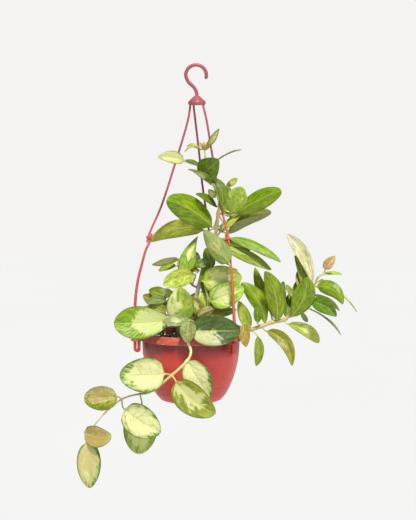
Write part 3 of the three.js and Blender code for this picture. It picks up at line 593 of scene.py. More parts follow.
for side, (upper_path, lower_path) in arm_paths.items():
    turn = math.radians(ear_angles[side])
    outward = Vector((math.cos(turn), math.sin(turn), 0))
    top, foot = seen(upper_path[-1]), seen(lower_path[0])
    down = (foot - top).normalized()
    outward = (outward - down * outward.dot(down)).normalized()
    link = top.lerp(foot, (link_height - top.z) / (foot.z - top.z))
    apart = rod_radius + clearance / 2
    outer, inner = link + outward * apart, link - outward * apart

    # The upper rod: from its socket in the hub down to an eyelet, with a bore for the stud
    x, y = arm_tops[side]
    ends = [outer - down * link_overlap, outer + down * link_overlap]
    path = [Vector((x, y, hub_foot - 3)), *map(seen, upper_path[:-1]), *ends]
    line = [Vector((x, y, hub_foot + socket_depth)), *smooth(path, rod_steps)]
    radii = [rod_radius] * (len(line) - 1) + [rod_radius * rod_end]
    upper_arm = bars("upper_arm_" + side, [(line, radii)], hanger_red)
    eyelet = drum(outer - outward * rod_radius, outer + outward * rod_radius / 2, eyelet_radius)
    fused(upper_arm, bars("eyelet", [eyelet], hanger_red, sides=24))
    bore = [outer - outward * 2 * rod_radius, outer + outward * 2 * rod_radius]
    fused(upper_arm, bars("bore", [(bore, [stud_radius + stud_play] * 2)], hanger_red), "DIFFERENCE")
    finished(upper_arm, ["arm_upper_" + side])

    # The lower rod: from a pad with the stud, thickening down to its foot inside the strip
    across, beside = ear_radius * math.cos(turn), ear_radius * math.sin(turn)
    foot = Vector((pot_axis + across, beside, strip_top - rod_in_strip))
    ends = [inner - down * link_overlap, inner + down * link_overlap]
    free = [point for point in map(seen, lower_path) if point.z > strip_top + path_end_gap]
    line = smooth([*ends, *free, foot], rod_steps)
    radii = [rod_radius + (rod_foot_radius - rod_radius) * n / (len(line) - 1) for n in range(len(line))]
    radii[0] *= rod_end
    lower_arm = bars("lower_arm_" + side, [(line, radii)], hanger_red)
    pad = drum(inner - outward * rod_radius / 2, inner + outward * rod_radius, eyelet_radius)
    fused(lower_arm, bars("pad", [pad], hanger_red, sides=24))
    head_at = inner + outward * (3 * rod_radius + 2 * clearance)
    fused(lower_arm, bars("shank", [([inner, head_at + outward], [stud_radius] * 2)], hanger_red))
    head = drum(head_at, head_at + outward * stud_head_height, stud_head, stud_head * 0.8, 0.25)
    fused(lower_arm, bars("head", [head], hanger_red, sides=24))
    strip = slab("strip", strip_outline, strip_width, edge=0.6)
    strip.data.transform(Matrix.Translation(Vector((pot_axis, 0, 0)) * mm) @ Matrix.Rotation(turn, 4, "Z")
                         @ Matrix.Translation(Vector((ear_radius - bend, 0, 0)) * mm)
                         @ Matrix.Rotation(math.pi / 2, 4, "X"))
    strip.data.materials.append(hanger_red)
    fused(lower_arm, strip)
    finished(lower_arm, ["arm_lower_" + side])


# Leafy stems: what they have in common
# Every stem is a limb with thick leaves that grow in pairs at its nodes, each on a short round stalk. Stem,
# stalks and leaves are one piece. A leaf is a closed skin round its curved midrib.
blade_thickness, stalk_thickness = 1.0, 2.3
stalk_pale = paint(224, 222, 140)
usual_fold = 12
least_half_width = 0.35
rib_half_width, rib_groove, rib_swell = 1.1, 0.22, 0.55
knot_swell, knot_length = 0.34, 2.6
blade_rings, stalk_rings, limb_steps = 22, 5, 6
# Along the blade, from 0 to 1: where it has become flat, and where its last ring of points lies
flat_from, last_ring = 0.09, 0.985
# Where the points round a leaf lie, from its edge, 1, to its midrib, 0
skin_marks = [1, 0.975, 0.88, 0.7, 0.5, 0.3, 0.13, 0.05]

# Leaf colours as seen in even light
leaf_tints = {
    "deep": paint(100, 130, 12), "fresh": paint(130, 160, 14), "light": paint(158, 176, 54),
    "lime": paint(178, 200, 70), "young": paint(186, 198, 72), "pale": paint(200, 200, 112),
    "sage": paint(140, 154, 78), "olive": paint(150, 150, 48), "dusky": paint(72, 98, 36),
    "ivory": paint(220, 210, 150), "margin": paint(116, 146, 26), "withered": paint(186, 150, 74),
    "bud": paint(208, 186, 92), "rosy": paint(234, 192, 124),
}

# How a blade's colours lie. Place is how far along and how far across a point is, each from 0 to 1. Spread
# is how far cream reaches from the midrib, how much it leans to one side, and how much it grows towards the
# tip. Age is how tanned the cream is, or below 0 how green, then the leaf's own number, and 1 on top.
leaf_look, given, result = grouped(
    "hoya leaf pattern", "ShaderNodeTree",
    [("Place", "NodeSocketVector", None), ("Tint", "NodeSocketColor", None),
     ("Spread", "NodeSocketVector", None), ("Age", "NodeSocketVector", None),
     ("Cream", "NodeSocketColor", None), ("Tan", "NodeSocketColor", None)],
    [("Colour", "NodeSocketColor"), ("Roughness", "NodeSocketFloat"), ("Height", "NodeSocketFloat")])
place, spread, age = parts(given["Place"]), parts(given["Spread"]), parts(given["Age"])
side = reckon("MULTIPLY_ADD", place[1], 2.0, -1.0)
off_rib = reckon("ABSOLUTE", side)

# 0 in the blade's middle and 1 at its outline, as across an oval
lengthwise = reckon("MULTIPLY_ADD", place[0], 2.0, -1.0)
lengthwise_squared = reckon("MULTIPLY", lengthwise, lengthwise)
widening = reckon("SUBTRACT", 1.0, lengthwise_squared)
off_squared = reckon("MULTIPLY", off_rib, off_rib)
to_edge = reckon("SQRT", reckon("MULTIPLY_ADD", off_squared, widening, lengthwise_squared))

vein_line = reckon("MULTIPLY_ADD", off_rib, -0.3, place[0])


def leaf_noise(along_scale, across_scale, shift, detail):
    """Noise drawn out along the side veins, another one on each leaf."""
    spot = add(leaf_look, "ShaderNodeCombineXYZ",
               {0: reckon("MULTIPLY", vein_line, along_scale), 1: reckon("MULTIPLY", side, across_scale),
                2: reckon("ADD", age[1], shift)}).outputs[0]
    return add(leaf_look, "ShaderNodeTexNoise",
               {"Vector": spot, "Scale": 1.0, "Detail": detail, "Roughness": 0.62}).outputs[0]


broad = leaf_noise(3.4, 1.5, 0.0, 2.0)
mottle = leaf_noise(9.0, 4.0, 3.0, 4.0)
fine = leaf_noise(30.0, 13.0, 7.0, 3.0)
streak = leaf_noise(18.0, 2.2, 11.0, 3.0)

# The border between cream and green is torn along the side veins, with lime between the two
torn = reckon("MULTIPLY_ADD", mottle, 0.5, reckon("MULTIPLY_ADD", broad, 1.1, -0.8))
torn = reckon("ADD", torn, reckon("MULTIPLY_ADD", streak, 0.9, -0.45))
leaning = reckon("MULTIPLY", spread[0], reckon("MULTIPLY_ADD", spread[1], side, 1.0))
reach = reckon("ADD", leaning, reckon("MULTIPLY", spread[2], reckon("SUBTRACT", place[0], 0.5)))
inside = reckon("ADD", reckon("SUBTRACT", reach, to_edge), torn)
liming = ease(inside, -0.16, 0.06)
creaming = ease(inside, -0.04, 0.2)

darker, brighter = (shaded(given["Tint"], shade) for shade in ((0.6, 0.7, 0.5, 1), (1.24, 1.17, 1.3, 1)))
green = blend(ease(mottle, 0.36, 0.64), darker, brighter)
drifting = blend(ease(broad, 0.3, 0.7), (0.8, 0.88, 0.72, 1), (1.2, 1.1, 1.6, 1))
green = shaded(green, drifting)
lime = blend(0.5, given["Tint"], given["Cream"])
own_cream = blend(0.14, given["Cream"], given["Tint"])
greener = reckon("MAXIMUM", reckon("MULTIPLY", age[0], -1.0), 0.0)
liming_share = reckon("MULTIPLY_ADD", ease(streak, 0.46, 0.64), 0.75, greener, clamp=True)
mottled_cream = blend(liming_share, own_cream, lime)
tan_share = reckon("MULTIPLY", age[0], ease(broad, 0.2, 0.56), clamp=True)
pale_part = blend(tan_share, mottled_cream, given["Tan"])
patched = blend(creaming, blend(liming, green, lime), pale_part)

# A darker margin with a fine dark edge, a pale midrib, faint side veins and small pale flecks of painted
# highlight
margin = reckon("MULTIPLY", ease(off_rib, 0.62, 1.0), 0.35)
edged = blend(margin, patched, shaded(given["Tint"], (0.62, 0.7, 0.5, 1)))
edge_share = reckon("MULTIPLY_ADD", ease(spread[0], -0.5, 0.4), 0.45, 0.3)
fine_edge = reckon("MULTIPLY", ease(off_rib, 0.9, 0.97), edge_share)
edged = blend(fine_edge, edged, paint(72, 92, 30))
rib_width = reckon("MULTIPLY_ADD", place[0], -0.055, 0.085)
on_rib = reckon("SUBTRACT", 1.0, ease(reckon("DIVIDE", off_rib, rib_width), 0.35, 1.0))
rib_colour = blend(0.3, paint(204, 212, 118), given["Tint"])
ribbed = blend(reckon("MULTIPLY", on_rib, 0.6), edged, rib_colour)
wave = reckon("SINE", reckon("MULTIPLY", vein_line, 46.0))
veins = reckon("POWER", reckon("ABSOLUTE", wave), 18.0)
vein_share = reckon("MULTIPLY", veins, reckon("MULTIPLY_ADD", off_rib, -0.16, 0.16))
veined = blend(vein_share, ribbed, lime)
fleck_along, fleck_across = reckon("MULTIPLY", place[0], 17.0), reckon("MULTIPLY", side, 6.5)
fleck_spot = add(leaf_look, "ShaderNodeCombineXYZ", {0: fleck_along, 1: fleck_across, 2: age[1]}).outputs[0]
cells = add(leaf_look, "ShaderNodeTexVoronoi", {"Vector": fleck_spot, "Scale": 1.0})
small = reckon("SUBTRACT", 1.0, ease(cells.outputs["Distance"], 0.08, 0.2))
few = ease(cells.outputs["Color"], 0.62, 0.66)
highlight_flecks = reckon("MULTIPLY", reckon("MULTIPLY", small, few), 0.45)
flecked = blend(highlight_flecks, veined, paint(214, 222, 168))

# The underside is duller and rougher than the top
dull = blend(0.4, ribbed, paint(150, 160, 84))
roughness = reckon("MULTIPLY_ADD", age[2], -0.2, 0.44)
leaf_look.links.new(blend(age[2], dull, flecked), result.inputs["Colour"])
leaf_look.links.new(reckon("MULTIPLY_ADD", mottle, 0.22, roughness), result.inputs["Roughness"])
swell = reckon("MULTIPLY_ADD", broad, 2.4, reckon("MULTIPLY", fine, 0.16))
relief = reckon("MULTIPLY_ADD", veins, -0.12, swell)
leaf_look.links.new(reckon("MULTIPLY_ADD", on_rib, -0.25, relief), result.inputs["Height"])

leaf_green, tree, shader = new_material("hoya leaf")
place = add(tree, "ShaderNodeUVMap", uv_map="leaf_place").outputs[0]
tint = add(tree, "ShaderNodeAttribute", attribute_name="leaf_tint").outputs["Color"]
spread = add(tree, "ShaderNodeAttribute", attribute_name="leaf_spread").outputs["Vector"]
age = add(tree, "ShaderNodeAttribute", attribute_name="leaf_age").outputs["Vector"]
values = {"Place": place, "Tint": tint, "Spread": spread, "Age": age, "Cream": paint(236, 236, 172),
          "Tan": paint(182, 158, 84)}
look = add(tree, "ShaderNodeGroup", values, node_tree=leaf_look).outputs
shader.inputs["Specular IOR Level"].default_value = 0.32
dress(shader, look["Colour"], look["Roughness"], look["Height"], strength=0.5, depth=1.2)

# The stems' bark, in the colours that each limb gives it, with fine streaks and paler patches
stem_bark, tree, shader = new_material("hoya stem")
place = object_place(tree)
tint = add(tree, "ShaderNodeAttribute", attribute_name="leaf_tint").outputs["Color"]
drawn_out = add(tree, "ShaderNodeMapping", {"Vector": place, "Scale": (1, 1, 0.35)}).outputs[0]
streaks = noise(drawn_out, 900.0, 4.0)
toned = blend(ease(streaks, 0.35, 0.7), shaded(tint, (0.84, 0.8, 0.74, 1)), tint)
patches = reckon("MULTIPLY", ease(noise(place, 170.0, 2.0), 0.5, 0.75), 0.35)
patchy = blend(patches, toned, paint(222, 208, 164))
dress(shader, patchy, reckon("MULTIPLY_ADD", streaks, 0.25, 0.45), streaks, strength=0.5, depth=0.6)


def leaf_rings(node, base, tip, wide, shape, rng):
    """A leaf's rings of points, from inside the stem, along the stalk and the blade, each with how far along
    the blade it lies and whether it is on it. Then its tip, and where the points of every ring lie."""
    start = seen(base)
    chord = seen(tip) - start
    along = chord.normalized()
    face = Vector((0, -1, 0))
    face = (face - along * face.dot(along)).normalized()
    face = Matrix.Rotation(math.radians(shape.get("roll", 0)), 3, along) @ face
    left = face.cross(along)
    arch, sway = shape.get("arch", 2), shape.get("sway", 0)
    fold = math.radians(shape.get("fold", usual_fold))
    ripple, phase = rng.uniform(0.03, 0.085), rng.uniform(0, math.tau)
    twist = math.tan(rng.uniform(-0.28, 0.28))
    marks = [*skin_marks, 0, *(-mark for mark in reversed(skin_marks))]
    skin = [(mark, 1) for mark in marks] + [(mark, -1) for mark in reversed(marks[1:-1])]

    def ring(centre, ahead, share, t):
        """One ring: round on the stalk, at share 0, and as flat as the blade at share 1."""
        up = (face - ahead * face.dot(ahead)).normalized()
        across = up.cross(ahead)
        peak, taper = shape.get("peak", 0.85), shape.get("taper", 0.66)
        bulge = math.sin(math.pi * min(t, 0.9995) ** peak) ** taper
        half = max(wide / 2 * bulge, least_half_width) if t > 0 else least_half_width
        points = []
        for number, (mark, face_side) in enumerate(skin):
            angle = math.tau * number / len(skin)
            round_point = Vector((math.cos(angle), math.sin(angle)))
            round_point = round_point * stalk_thickness / 2 * (1 - 0.12 * share)

            # The blade is folded softly along its midrib, rippled, and twisted towards its tip
            cup = (math.sqrt(mark * mark + 0.012) - 0.11) * 1.13
            lift = half * math.sin(fold) * cup
            lift += half * ripple * mark * mark * math.sin(8 * t + phase + (2 if mark > 0 else 0))
            lift += half * mark * twist * max(t - 0.3, 0) ** 2

            # Its skin thins to the edge, with a groove on top of the midrib and a swelling under it
            rib = math.exp(-(mark * half / rib_half_width) ** 2) * (1 - t)
            skin_height = blade_thickness / 2 * math.sqrt(max(1 - mark ** 6, 0)) * face_side
            skin_height -= (rib_groove if face_side > 0 else rib_swell) * rib
            blade_point = Vector((half * math.cos(fold) * mark, lift + skin_height))
            spot = round_point.lerp(blade_point, share)
            points.append(centre + across * spot.x + up * spot.y)
        return points

    # The stalk leaves the stem straight towards the blade's foot, and bends into the blade's line
    leave = (start - node).normalized()
    first_ahead = (chord + face * arch * 4 + left * sway * 4).normalized()
    reach = (start - node).length
    rings = []
    for step in range(stalk_rings + 1):
        s = step / stalk_rings
        bent = (2 * s ** 3 - 3 * s ** 2 + 1) * node + (s ** 3 - 2 * s ** 2 + s) * leave * reach * 0.8
        bent += (3 * s ** 2 - 2 * s ** 3) * start + (s ** 3 - s ** 2) * first_ahead * reach * 0.8
        heading = (leave * (1 - s) + first_ahead * s).normalized()
        if step == 0:
            bent = node - leave * 0.4
        rings.append((0, ring(bent, heading, 0, 0), 0))

    # The blade's rings lie closer together at both ends, and the first ones change from round to flat
    for step in range(1, blade_rings + 1):
        t = step / blade_rings
        t = last_ring * (0.55 * t + 0.45 * (0.5 - 0.5 * math.cos(math.pi * t)))
        bow, slope = 4 * t * (1 - t), 4 * (1 - 2 * t)
        centre = start + chord * t + face * arch * bow + left * sway * bow
        ahead = (chord + face * arch * slope + left * sway * slope).normalized()
        share = min(t / flat_from, 1)
        rings.append((t, ring(centre, ahead, share * share * (3 - 2 * share), t), 1))
    return rings, seen(tip), skin


def limb_line(limb, rng):
    """A limb's nodes, the smooth line through them, and the line's radii and bark colours."""
    nodes = [seen(point[:3]) for point in limb["path"]]
    line = [nodes[0], *smooth(nodes[1:], limb_steps)]
    leafy = {row[0] for row in limb["leaves"]}
    radii, tones = [], []
    for number, point in enumerate(line):
        at = 1 + (number - 1) / limb_steps if number else 0
        low = min(int(at), len(nodes) - 1)
        high = min(low + 1, len(nodes) - 1)
        start, end = limb["path"][low][3], limb["path"][high][3]
        radius = start + (end - start) * (at - low)
        nearest = round(at)
        if nearest in leafy and nearest < len(nodes):
            radius *= 1 + knot_swell * math.exp(-((point - nodes[nearest]).length / knot_length) ** 2)
        radii.append(radius * (1 + rng.uniform(-0.05, 0.05)))
        share = min(at / (len(nodes) - 1), 0.999) * (len(limb["bark"]) - 1)
        lower, upper = (paint(*limb["bark"][int(share) + more]) for more in (0, 1))
        tones.append([a + (b - a) * (share % 1) for a, b in zip(lower, upper)])
    return nodes, line, radii, tones


def add_leaf(skin, leaf, tints, marks, own_number):
    """Adds a leaf to the skin of all leaves: its rings, the faces between them and a pole at each end."""
    rings, tip, outline = leaf
    first, count = len(skin["points"]), len(outline)
    for along, points, on_blade in rings:
        skin["points"] += points
        for mark, face_side in outline:
            on_top = 0.5 if abs(mark) == 1 else (1 if face_side > 0 else 0)
            skin["place"].append((along, mark / 2 + 0.5))
            skin["tint"].append(tints[on_blade])
            skin["spread"].append((marks.get("cream", -1), marks.get("lean", 0), marks.get("slope", 0)))
            skin["age"].append((marks.get("blush", 0), own_number, on_top))
    for number in range(len(rings) - 1):
        for k in range(count):
            a, b = first + number * count + k, first + number * count + (k + 1) % count
            skin["faces"].append((a, b, b + count, a + count))
            skin["bark"].append(not rings[number + 1][2])
    last = first + (len(rings) - 1) * count
    foot = sum(rings[0][1], Vector()) / count
    for pole, along, start in ((foot, 0, first), (tip, 1, last)):
        centre = len(skin["points"])
        skin["points"].append(pole)
        skin["place"].append((along, 0.5))
        for part in ("tint", "spread", "age"):
            skin[part].append(skin[part][start])
        for k in range(count):
            a, b = start + k, start + (k + 1) % count
            skin["faces"].append((a, b, centre) if along else (b, a, centre))
            skin["bark"].append(not along)


def leafy_limb(name, node_name, limbs, seed):
    """A piece of limbs with their leaves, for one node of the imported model.

    A limb has its bark's colours, from its foot up, and a path of points, each with the stem's radius there.
    A leaf is a row: the point of the path where it grows, its blade's foot and tip, its width, shape, tint
    and marks. Roll, about the midrib, and fold are in degrees. Arch and sway bow the midrib up and to one
    side, in millimetres. A higher peak brings the widest place nearer the tip, and a higher taper narrows
    both ends. The marks are cream, how far it reaches, its lean and slope, and blush, how tanned it is.
    """
    rng = random.Random(seed)
    lines, tints = [], []
    skin = {part: [] for part in ("points", "faces", "place", "tint", "spread", "age", "bark")}
    for limb in limbs:
        nodes, line, radii, tones = limb_line(limb, rng)
        ahead = (line[-1] - line[-2]).normalized() * radii[-1]
        round_end = [line[-1] + ahead * 0.5, line[-1] + ahead * 0.8]
        lines.append((line + round_end, radii + [radii[-1] * 0.75, radii[-1] * 0.2]))
        tints += tones + [tones[-1]] * len(round_end)
        for at, base, tip, wide, shape, tint_name, *marks in limb["leaves"]:
            leaf = leaf_rings(nodes[at], base, tip, wide, shape, rng)
            tint = [part * rng.uniform(0.82, 1.0) for part in leaf_tints[tint_name][:3]] + [1]
            bark = tones[1 + (at - 1) * limb_steps]
            stalk_tint = [a * 0.3 + b * 0.3 + c * 0.4 for a, b, c in zip(bark, tint, stalk_pale)]
            add_leaf(skin, leaf, (stalk_tint, tint), marks[0] if marks else {}, rng.uniform(0, 40))
    mesh = bare_mesh(name + "_leaves", skin["points"], faces=skin["faces"])
    mesh.materials.append(leaf_green)
    mesh.materials.append(stem_bark)
    mesh.polygons.foreach_set("material_index", [int(bark) for bark in skin["bark"]])
    corners = [part for loop in mesh.loops for part in skin["place"][loop.vertex_index]]
    mesh.uv_layers.new(name="leaf_place").data.foreach_set("uv", corners)
    for key, kind, field in (("tint", "FLOAT_COLOR", "color"), ("spread", "FLOAT_VECTOR", "vector"),
                             ("age", "FLOAT_VECTOR", "vector")):
        mesh.attributes.new("leaf_" + key, kind, "POINT").data.foreach_set(
            field, [part for value in skin[key] for part in value])
    stems = bars(name, lines, stem_bark, sides=12, tints=tints)
    return finished(joined(name, [placed(name + "_leaves", mesh), stems]), [node_name], sharp=60)


# Tall stem
# The main stem stands in the middle of the pot, woody below and green above, with flower buds at its top.
# A short shoot grows from it to the left. Its big leaves are nearly plain green.
tall_limb = {
    "bark": [(250, 228, 190), (255, 238, 204), (250, 240, 180), (244, 238, 150), (200, 208, 104)],
    "path": [
        [-4, 6, -432, 3.3], [-4, 6, -402, 3.3], [-1, 4, -351, 3.2], [4, 2, -327, 3],
        [10, -2, -300, 2.4], [19, -5, -276, 2.1], [27, -7, -258, 2.3], [30.5, -8, -240, 2.6],
        [33, -8, -219, 2.5], [35, -10, -205, 2.2], [30, -13, -186, 1.6], [22, -16, -168, 1.5],
        [16, -18, -150, 1.4], [14, -20, -135, 1.2], [12.5, -20, -122, 1],
    ],
    "leaves": [
        [14, [17, -20, -118], [34.6, -28, -90.5], 12, dict(roll=35, arch=3, sway=2.5),
         "light", dict(cream=0.6, blush=-0.4)],
        [14, [6, -21, -122], [-17.5, -30, -126], 9, dict(roll=70, arch=6), "young"],
        [14, [5, -18, -121], [-14, -12, -117], 8, dict(roll=40, arch=4), "pale"],
        [14, [12, -20, -122], [5, -23, -111], 5, {}, "bud"],
        [14, [13, -20, -122], [11, -25, -110], 5, {}, "bud"],
        [14, [14, -20, -122], [16, -22, -111], 5, dict(roll=30), "bud"],
        [14, [16, -20, -122], [22, -17, -111], 5, {}, "bud"],
        [12, [-18, -30, -139.5], [-57.6, -56, -133.5], 19, dict(roll=10, sway=-2.6),
         "light", dict(cream=0.95, blush=0.25)],
        [12, [5, -20, -145], [-20, -28, -139.5], 10, dict(roll=62), "deep"],
        [13, [34, -24, -136.5], [68, -46, -122.7], 13, dict(roll=-86), "sage"],
        [12, [7, -22, -162], [34, -48, -137], 36, dict(roll=-5), "deep"],
        [11, [22, -17, -175], [-12.3, -48, -151.8], 24, dict(roll=114, arch=3), "light", dict(cream=0.45)],
        [11, [22, -30, -166], [37.5, -42, -209], 18, dict(roll=-20, sway=8, arch=3), "deep"],
        [10, [44.7, -14, -178.5], [61.6, 12, -165.7], 10, {}, "young"],
        [9, [52, -15, -216], [69, -36, -178], 33, dict(peak=1.2), "lime"],
        [10, [28, -17, -194], [18.5, -21, -182], 11, {}, "pale", dict(cream=0.6)],
        [9, [31, -12, -208], [-1, -38, -189], 20, dict(roll=58), "deep"],
        [9, [40, -4, -204], [50, 46, -190], 24, {}, "deep"],
        [8, [24, -15, -239], [-44.5, -56, -198], 42,
         dict(roll=12, fold=-20, arch=4, sway=-6, taper=0.48, peak=1), "fresh"],
        [8, [60, -14, -219], [128, -50, -184], 31, dict(roll=-15, sway=3, fold=-18, taper=0.52, peak=1.1),
         "fresh"],
        [8, [44.7, -6, -234], [113, 24, -217], 30, dict(roll=-148, taper=0.5), "sage"],
        [8, [38, 0, -218], [60, 50, -205], 26, {}, "fresh"],
        [7, [12, -8, -244], [-69.5, 16, -261], 28, dict(roll=15, sway=-12, fold=-14), "light"],
        [7, [46, -2, -247.5], [90, 38, -229], 20, dict(roll=-135), "sage"],
        [7, [39, -11, -246], [66, -14, -222], 10, dict(roll=-40), "young"],
        [6, [49, -14, -255], [127, -42, -291], 19, dict(roll=-38, sway=6, fold=-14), "fresh"],
        [6, [38, -10, -262], [81, 20, -273], 22, dict(roll=-25), "deep"],
        [6, [30, 0, -260], [40, 52, -268], 26, {}, "fresh"],
        [5, [42, -16, -269], [113, -26, -303], 20, dict(roll=-25, sway=3, fold=-14), "light"],
        [5, [49.5, -52, -293], [11, -30, -244], 30, dict(roll=172, arch=0, peak=0.75),
         "sage", dict(cream=0.3, blush=1.0)],
        [4, [22, -14, -291], [-6, -17, -297], 15, dict(roll=20), "deep"],
        [4, [4, 6, -291], [0.5, 6, -276], 8, {}, "sage"],
        [6, [43, -9, -240], [104, 16, -222], 14, dict(roll=-105), "olive"],
        [7, [45, -10, -231], [84, 8, -212], 13, dict(roll=-80), "light"],
        [6, [35, -12, -246], [45, -18, -228], 5, dict(roll=-30), "pale"],
        [3, [10, -6, -318], [22, -12, -345], 16, {}, "deep"],
        [4, [16, -8, -296], [6, -14, -322], 12, {}, "fresh"],
        [9, [43, -10, -217], [49, -18, -178], 24, {}, "light"],
        [5, [24, -14, -300], [14, -10, -270], 18, {}, "deep"],
    ],
}
left_shoot = {
    "bark": [(196, 176, 130), (170, 176, 104)],
    "path": [
        [5, 2, -330, 1.6], [2, 2, -330, 1.6], [-6, -4, -325, 1.5], [-14, -10, -316, 1.5],
        [-24, -16, -306, 1.4], [-27, -19, -294, 1.3], [-25, -20, -286, 1.1],
    ],
    "leaves": [
        [6, [-26, -20, -288], [-66.6, -48, -295], 20, dict(roll=128, arch=-1),
         "pale", dict(cream=0.6, blush=0.3)],
        [5, [-30, -20, -297], [-56.5, -6, -304], 15, dict(roll=50), "light"],
        [3, [-14, -22, -306], [2.7, -6, -252], 27, dict(roll=-25, sway=3, taper=0.95, peak=0.5),
         "light", dict(cream=0.4, lean=-0.5)],
        [3, [4, -14, -303], [-27, -20, -305], 15, dict(roll=45), "olive"],
        [2, [-2, -18, -310], [-49, -50, -325.5], 28, dict(roll=8, arch=3, sway=-2, taper=0.5, peak=1.15),
         "lime"],
    ],
}
leafy_limb("tall_stem", "stem_tall", [tall_limb, left_shoot], seed=21)


# Short stem behind the right arm
# A short stem that stands just behind the hanger's right arm, with two broad leaves that face the front
# and smaller ones round their foot.
centre_limb = {
    "bark": [(180, 156, 110), (176, 190, 100)],
    "path": [
        [14, -22, -440, 2.4], [14, -22, -405, 2.4], [16, -24, -372, 2.2], [18, -22, -350, 2],
        [14, -20, -330, 1.7], [11, -18, -318, 1.3],
    ],
    "leaves": [
        [5, [9, -19, -320], [68.5, -26, -314], 42, dict(roll=-8, arch=3, taper=0.55),
         "lime", dict(cream=0.5, blush=-1.0)],
        [3, [20, -28, -350], [71.7, -35, -330], 39, dict(roll=-8, arch=4, taper=0.55),
         "lime", dict(cream=0.6, slope=-0.5, blush=-0.3)],
        [2, [27, -28, -361.5], [2, -34, -373.5], 18, dict(roll=150), "pale", dict(cream=0.8, blush=0.6)],
        [2, [17, -27, -375], [46, -22, -364], 15, dict(roll=-60), "withered"],
        [2, [12, -26, -368], [-14, -30, -343], 20, dict(roll=20), "olive", dict(blush=0.6, cream=0.3)],
        [2, [15, -20, -366], [8, -10, -334], 19, {}, "lime"],
        [1, [11, -18, -383], [-3, -8, -352], 21, {}, "olive", dict(cream=0.3, blush=0.9)],
        [2, [22, -16, -368], [35, -2, -340], 22, dict(roll=-10), "fresh"],
    ],
}
leafy_limb("centre_stem", "stem_centre", [centre_limb], seed=22)


# Short stem over the front rim
# A short stem that leans out over the front of the rim, with one large dusky leaf that rests above it
# and two small ones beside it.
front_limb = {
    "bark": [(170, 156, 104), (160, 168, 96)],
    "path": [
        [4, -46, -440, 1.8], [4, -46, -402, 1.8], [3, -57, -392, 1.7], [-1, -70, -390, 1.6],
    ],
    "leaves": [
        [3, [-9, -84, -394.5], [66.5, -72, -394.5], 46, dict(roll=-12, taper=0.52),
         "dusky", dict(cream=0.05, lean=-24.0, slope=-1.7, blush=-0.75)],
        [3, [-10.8, -79, -379.5], [-13.5, -89, -413], 24, dict(roll=5), "sage"],
        [2, [-9, -62, -378], [-51, -67, -382], 20, dict(roll=30), "sage", dict(cream=0.35, blush=0.4)],
    ],
}
leafy_limb("front_stem", "stem_front", [front_limb], seed=23)


# Stem over the left of the rim
# A stem with variegated leaves that hang out over the left of the rim: one large leaf marked with cream,
# one upright, and small ones behind.
left_limb = {
    "bark": [(176, 156, 108), (176, 188, 104)],
    "path": [
        [-26, -28, -440, 2.2], [-26, -28, -402, 2.2], [-31, -36, -382, 2], [-35, -37, -362, 1.8],
        [-36, -33, -338, 1.5],
    ],
    "leaves": [
        [2, [-38, -52, -378], [-123.5, -76, -382.5], 50,
         dict(roll=14, arch=3, sway=2.5, taper=0.52, peak=1.35),
         "fresh", dict(cream=0.72, slope=-1.5, blush=-1.0)],
        [3, [-44, -46, -371], [-84, -52, -361], 20, dict(roll=20), "olive", dict(cream=0.3, blush=1.0)],
        [3, [-44, -42, -364], [-73, -50, -357], 15, dict(roll=15), "light", dict(cream=0.2, blush=-0.8)],
        [4, [-46, -38, -350], [-74, -60, -353], 15, dict(roll=10, sway=-4), "sage"],
        [4, [-36, -34, -335], [-61, -22, -352], 17, dict(roll=20, sway=-3), "pale"],
        [2, [-24.5, -45, -382], [-24, -46, -328.5], 42, dict(roll=5, taper=0.6),
         "light", dict(cream=0.2, lean=4.5, blush=-0.3)],
        [4, [-41, -30, -343], [-71, -22, -333], 20, dict(roll=10), "fresh"],
        [3, [-42, -30, -360], [-80, -18, -341], 23, dict(roll=15), "olive", dict(cream=0.2, blush=1.0)],
    ],
}
leafy_limb("left_stem", "stem_left", [left_limb], seed=24)


